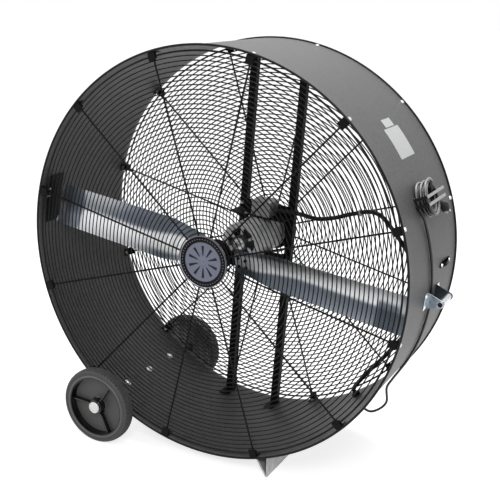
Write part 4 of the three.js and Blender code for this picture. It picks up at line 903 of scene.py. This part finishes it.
leadRoute = np.array([  # angle, y before the rear guard and share of the way from the axis to the wall
    (59.6, -82, 0.262), (70.6, -56, 0.326), (73.7, -26, 0.404), (73.8, -7, 0.463), (74, 0, 0.5064),
    (74, 0, 0.529), (74, 0, 0.5516), (74.8, -1, 0.597), (77.1, -3, 0.639), (82.1, -6, 0.684),
    (90.7, -9, 0.764), (97.9, -13, 0.849), (105.5, -18, 0.907), (113.9, -24, 0.92), (122.7, -32, 0.913),
    (131.2, -44, 0.914), (139.2, -58, 0.928)])
leadLies = dict(y=216.4, wall=618.11)
middle = onDrum(leadRoute[:, 0], leadLies["y"] + leadRoute[:, 1], leadRoute[:, 2] * leadLies["wall"])
leadStart = turnAbout([(59.6, 127.7, 90.6), (73.6, 127.7, 90.6)], motor["lean"])
leadEnd = onDrum(gland["angle"], gland["y"], np.array([596.1, 605.8]))
leadPath = smoothPath(np.concatenate([leadStart, middle, leadEnd]), 5)
motorLead = putCord("motorLead", leadPath, 7, leadJacket)
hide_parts("motor_lead")
print("motor made")

# Wheels

wheel = dict(x=-375.06, z=-530.5, front=-270, rear=290)
tread = dict(radius=124.9, halfWidth=15.5, lugs=32, slant=0.34, depth=2.6)


def makeTyre():
    # A section with a raised bead and fine rings, turned about y, its tread cut in diamonds by crossed sines.
    turns = 768
    a = np.linspace(0, 2 * np.pi, turns, endpoint=False)[:, None]
    wall = np.array([
        (99.3, -19.8), (100, -21.2), (101.6, -21.9), (103.6, -22), (105.4, -21.3), (106.2, -19.9),
        (107.2, -19.5), (110.6, -19.6), (111.2, -20.3), (112, -20.3), (112.6, -19.7), (115.4, -19.9),
        (116, -20.5), (117, -20.5), (117.8, -20), (119.8, -19), (121.6, -17.2)])
    rows = np.linspace(-tread["halfWidth"], tread["halfWidth"], 23)
    crown = np.c_[tread["radius"] - 2.4 * (np.abs(rows) / 16) ** 3, rows]
    section = np.concatenate([wall, crown, wall[::-1] * np.array([1, -1])])
    radius = np.broadcast_to(section[:, 0], (turns, len(section))).copy()
    along = np.broadcast_to(section[:, 1], radius.shape)
    crownRows = slice(len(wall), len(wall) + len(rows))
    slant = along[:, crownRows] * tread["slant"]
    oneWay, otherWay = np.sin(tread["lugs"] * a + slant), np.sin(tread["lugs"] * a - slant)
    cut = np.minimum(np.abs(oneWay), np.abs(otherWay)) < 0.36
    radius[:, crownRows] -= tread["depth"] * cut
    points = np.stack([radius * np.sin(a), along * np.ones_like(a), radius * np.cos(a)], -1)
    return points, gridFaces(turns, len(section), True, True)


def makeWheel():
    # A section turned about y: seat, lip, well and boss on the outside, with its back shallower.
    outside = [(8.5, 21.5), (13, 21.8), (23, 21.8), (24, 20.8), (24.6, -2), (28, -4.4), (88, -4.4), (93, -3),
               (94.6, 1), (95.2, 19.4), (96, 21.4), (98.4, 21.8), (99, 21)]
    inside = [(99, -21), (98.4, -21.8), (96, -21.4), (95.2, -19.4), (94.6, -11.8), (92, -9.4), (28, -9.4),
              (24.6, -11), (24, -20.8), (23, -21.8), (13, -21.8), (8.5, -21.5)]
    return turned(np.array(outside + inside), 144, closed=True)


def makeRibs():
    # Three thin ribs in the well: a side outline in (radius, y), as thick as a rib and turned about the hub.
    outline = roundCorners([(23, -5), (23, 14.5), (40, 9), (95.3, 12.5), (95.3, -5)], 2.2, 3)
    points, faces = prism(outline, -2.1, 2.1, [2, 1, 0])
    return many([(turnAbout(points, angle), faces) for angle in (-85, 35, 155)])


capProfile = [(8.4, 22.6), (18, 22.6), (19, 23.4), (19, 26.5), (17.6, 28.4), (15.6, 29), (14.8, 28.4),
              (14, 29), (6, 30), (0, 30), (0, 27.6), (8.4, 27.6)]


def fromAxle(c):
    # How far points lie from the wheels' axle.
    return np.hypot(c[:, 0] - wheel["x"], c[:, 2] - wheel["z"])


for word, side in (("front", -1), ("rear", 1)):
    body = "wheel_" + word
    place, face = np.array([wheel["x"], wheel[word], wheel["z"]]), np.array([1, side, 1])
    shape, faces = makeTyre()
    tyre = putMesh(word + "Tyre", shape + place, faces, tyreRubber, body, sharp=40)
    # the raised bead ring painted lighter: a painted highlight
    refinish(tyre, tyreBeadHighlight, lambda c: fromAxle(c) < 106)
    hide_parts(word + "_tyre")
    shape, faces = makeWheel()
    disc = putMesh(word + "WheelBody", shape * face + place, faces, wheelGloss, body, sharp=32)
    refinish(disc, wheelPlastic, lambda c: np.abs(fromAxle(c) - 60) < 31.9)  # the web between hub and lip
    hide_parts(word + "_wheel")
    shape, faces = makeRibs()
    ribs = putMesh(word + "WheelRibs", shape * face + place, faces, wheelGloss, body, sharp=30)
    bevel(ribs, 0.6)
    shape, faces = turned(capProfile, 64)
    cap = putMesh(word + "AxleCap", shape * face + place, faces, capZinc, sharp=40)
    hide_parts(word + "_axle_cap")
axleProfile = [(0, -297), (8, -297), (8, -247.6), (14, -247.6), (14, -150.4), (8, -150.2), (8, 150.2),
               (14, 150.4), (14, 267.6), (8, 267.6), (8, 317), (0, 317)]
points, faces = turned(axleProfile, 40, (wheel["x"], 0, wheel["z"]))
axleRod = putMesh("axleRod", points, faces, shaftSteel, sharp=30)
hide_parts("axle_rod")
print("wheels made")

# Side handle: two folded ears and a plated tube

handle = dict(angle=97, front=-36, rear=50, height=663, tip=12, sheet=2.5, foot=25, flange=24)


def makeEar(y, side):
    # A plate from a wide foot to an arc about the tube, and a flange that is folded along the skin's arc.
    a = np.radians(np.linspace(78, -78, 16))
    tip = np.stack([handle["tip"] * np.sin(a), handle["height"] + handle["tip"] * np.cos(a)], -1)
    plate = np.concatenate([[(-handle["foot"], 621.6), (handle["foot"], 621.6)], tip])
    low, high = sorted((y, y + side * handle["flange"]))
    a = np.radians(np.linspace(-2.3, 2.3, 12))
    under = np.stack([621.4 * np.sin(a), 621.4 * np.cos(a)], -1)
    over = np.stack([623.8 * np.sin(a), 623.8 * np.cos(a)], -1)[::-1]
    half = handle["sheet"] / 2
    standing = prism(plate, y - half, y + half, [0, 2, 1])
    return many([standing, prism(np.concatenate([under, over]), low, high, [0, 2, 1])])


# the rear ear is painted darker as shade, the front ear keeps the plain zinc
for word, side, paint in (("front", -1, zincSteel), ("rear", 1, zincPaintedShade)):
    points, faces = makeEar(handle[word], side)
    ear = putMesh(word + "Ear", turnAbout(points, handle["angle"]), faces, paint, sharp=30)
    # the flange, one sheet with its ear, painted lighter as lit
    refinish(ear, zincPaintedLight, lambda c: np.hypot(c[:, 0], c[:, 2]) < 623.9)  # the flange
    bevel(ear, 0.7)
    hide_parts("handle_ear_" + word)
tubeProfile = [(7.6, -40), (9.2, -40), (9.5, -39.6), (9.5, 53.6), (9.2, 54), (7.6, 54)]
points, faces = turned(tubeProfile, 56, closed=True)
points = turnAbout(points + np.array([0, 0, handle["height"]]), handle["angle"])
grip = putMesh("handleTube", points, faces, zincPaintedLight, sharp=30)
# black discs just inside the tube's ends: painted shade for its dark bores
bores = [boltHead(onDrum(handle["angle"], y, handle["height"]), (0, way, 0), 7.7, 1.0, 40, 0.1)
         for y, way in ((-38.6, -1), (52.6, 1))]
putMesh("tubeBores", *many(bores), leadJacket, sharp=30)
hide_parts("handle_tube")
skinScrews = []
for y in (-51, 65):  # through the ears' flanges
    for off in (-16, 16):
        a = handle["angle"] + math.degrees(off / drum["outer"])
        skinScrews.append(boltHead(onDrum(a, y, 623.6), onDrum(a, 0, 1), 4.6, 3, 20, 0.6))
for y in (75.6, 147.8):  # through the side clip
    skinScrews.append(boltHead(onDrum(90, y, 623.6), onDrum(90, 0, 1), 5.4, 3.6, 20, 0.6))
putMesh("sideScrews", *many(skinScrews), boltZinc, sharp=35)

# Blank labels on the skin

labels = dict(blankLabel_1=dict(angles=(47, 49.4), y=(-36, 31)),
              blankLabel_2=dict(angles=(49.7, 58.5), y=(-60, 53)))
for name, label in labels.items():
    columns = 14
    a = np.linspace(*label["angles"], columns)[:, None]
    y = np.array(label["y"])[None]
    outer, inner = onDrum(a, y, 621.45), onDrum(a, y, 621.12)
    points = np.concatenate([outer.reshape(-1, 3), inner.reshape(-1, 3)])
    top = gridFaces(columns, 2)
    bottom = gridFaces(columns, 2, start=2 * columns)[:, ::-1]
    edge = np.r_[np.arange(0, 2 * columns, 2), np.arange(2 * columns - 1, 0, -2)]
    sides = np.stack([edge, np.roll(edge, -1), np.roll(edge, -1) + 2 * columns, edge + 2 * columns], -1)
    putMesh(name, points, [top, bottom, sides], labelFilm, sharp=30)

# Fasteners on the skin over the axle channel and by the inner plate

wallBolts = []
channelAngle = -144.7
inwards = -onDrum(channelAngle, 0, 1)
for y in (-130, 0, 130):  # a washer and a nut over the axle channel
    wallBolts.append(boltHead(onDrum(channelAngle, y, 618.9), inwards, 11, 1.6, 32, 0.3))
    wallBolts.append(boltHead(onDrum(channelAngle, y, 617.3), inwards, 7, 5.5, 6))
for a, y in ((-76.4, -186), (-76.4, -196), (-78.6, -186), (-78.6, -196)):  # the inner plate's rivets
    wallBolts.append(boltHead(onDrum(a, y, 616.2), -onDrum(a, 0, 1), 3.2, 2.6, 16, 0.6))
putMesh("wallBolts", *many(wallBolts), boltZinc, sharp=30)
print("fittings made")

# Floor, lights and background

floorMesh = bpy.data.meshes.new("floor")
floorMesh.from_pydata([(-30, -30, 0), (30, -30, 0), (30, 30, 0), (-30, 30, 0)], [], [(0, 1, 2, 3)])
floor = bpy.data.objects.new("floor", floorMesh)
bpy.context.collection.objects.link(floor)
floorPaint = bpy.data.materials.new("floorPaint")
floorPaint.use_nodes = True
floorShader = floorPaint.node_tree.nodes["Principled BSDF"]
floorShader.inputs["Base Color"].default_value = (0.5, 0.5, 0.5, 1)
floorShader.inputs["Roughness"].default_value = 0.9


def seenRays(tree):
    # 1 for rays that come from the camera, a gloss or a clear piece, else 0.
    rays = tree.nodes.new("ShaderNodeLightPath")
    first, second = tree.nodes.new("ShaderNodeMath"), tree.nodes.new("ShaderNodeMath")
    first.operation = second.operation = "MAXIMUM"
    tree.links.new(rays.outputs["Is Camera Ray"], first.inputs[0])
    tree.links.new(rays.outputs["Is Glossy Ray"], first.inputs[1])
    tree.links.new(first.outputs["Value"], second.inputs[0])
    tree.links.new(rays.outputs["Is Transmission Ray"], second.inputs[1])
    return second.outputs["Value"]


# the floor glows a little to the camera, so that it is as white as the background
lift = floorPaint.node_tree.nodes.new("ShaderNodeMath")
lift.operation = "MULTIPLY"
lift.inputs[1].default_value = 0.76
floorPaint.node_tree.links.new(seenRays(floorPaint.node_tree), lift.inputs[0])
floorPaint.node_tree.links.new(lift.outputs["Value"], floorShader.inputs["Emission Strength"])
floorMesh.materials.append(floorPaint)

world = bpy.data.worlds.new("studio")
bpy.context.scene.world = world
world.use_nodes = True
nodes, links = world.node_tree.nodes, world.node_tree.links
soft = nodes["Background"]
soft.inputs["Color"].default_value = (1, 1, 1, 1)
soft.inputs["Strength"].default_value = 0.48
white = nodes.new("ShaderNodeBackground")
white.inputs["Color"].default_value = (1, 1, 1, 1)
white.inputs["Strength"].default_value = 1.0
mix = nodes.new("ShaderNodeMixShader")
links.new(seenRays(world.node_tree), mix.inputs["Fac"])
links.new(soft.outputs["Background"], mix.inputs[1])
links.new(white.outputs["Background"], mix.inputs[2])
links.new(mix.outputs["Shader"], nodes["World Output"].inputs["Surface"])

lamps = dict(
    key=dict(at=(1.7, -3.4, 3.5), size=1.3, watts=80),
    fill=dict(at=(-3.2, -2.8, 2.2), size=2.6, watts=24),
    top=dict(at=(0.2, 0.7, 4.4), size=3.0, watts=175),
)
for name, lamp in lamps.items():
    data = bpy.data.lights.new(name, "AREA")
    data.size, data.energy = lamp["size"], lamp["watts"]
    light = bpy.data.objects.new(name, data)
    light.location = lamp["at"]
    light.rotation_mode = "QUATERNION"
    light.rotation_quaternion = (Vector((0, 0, 0.6)) - light.location).to_track_quat("-Z", "Y")
    bpy.context.collection.objects.link(light)

bpy.context.scene.view_settings.view_transform = "Standard"
print("stage set")
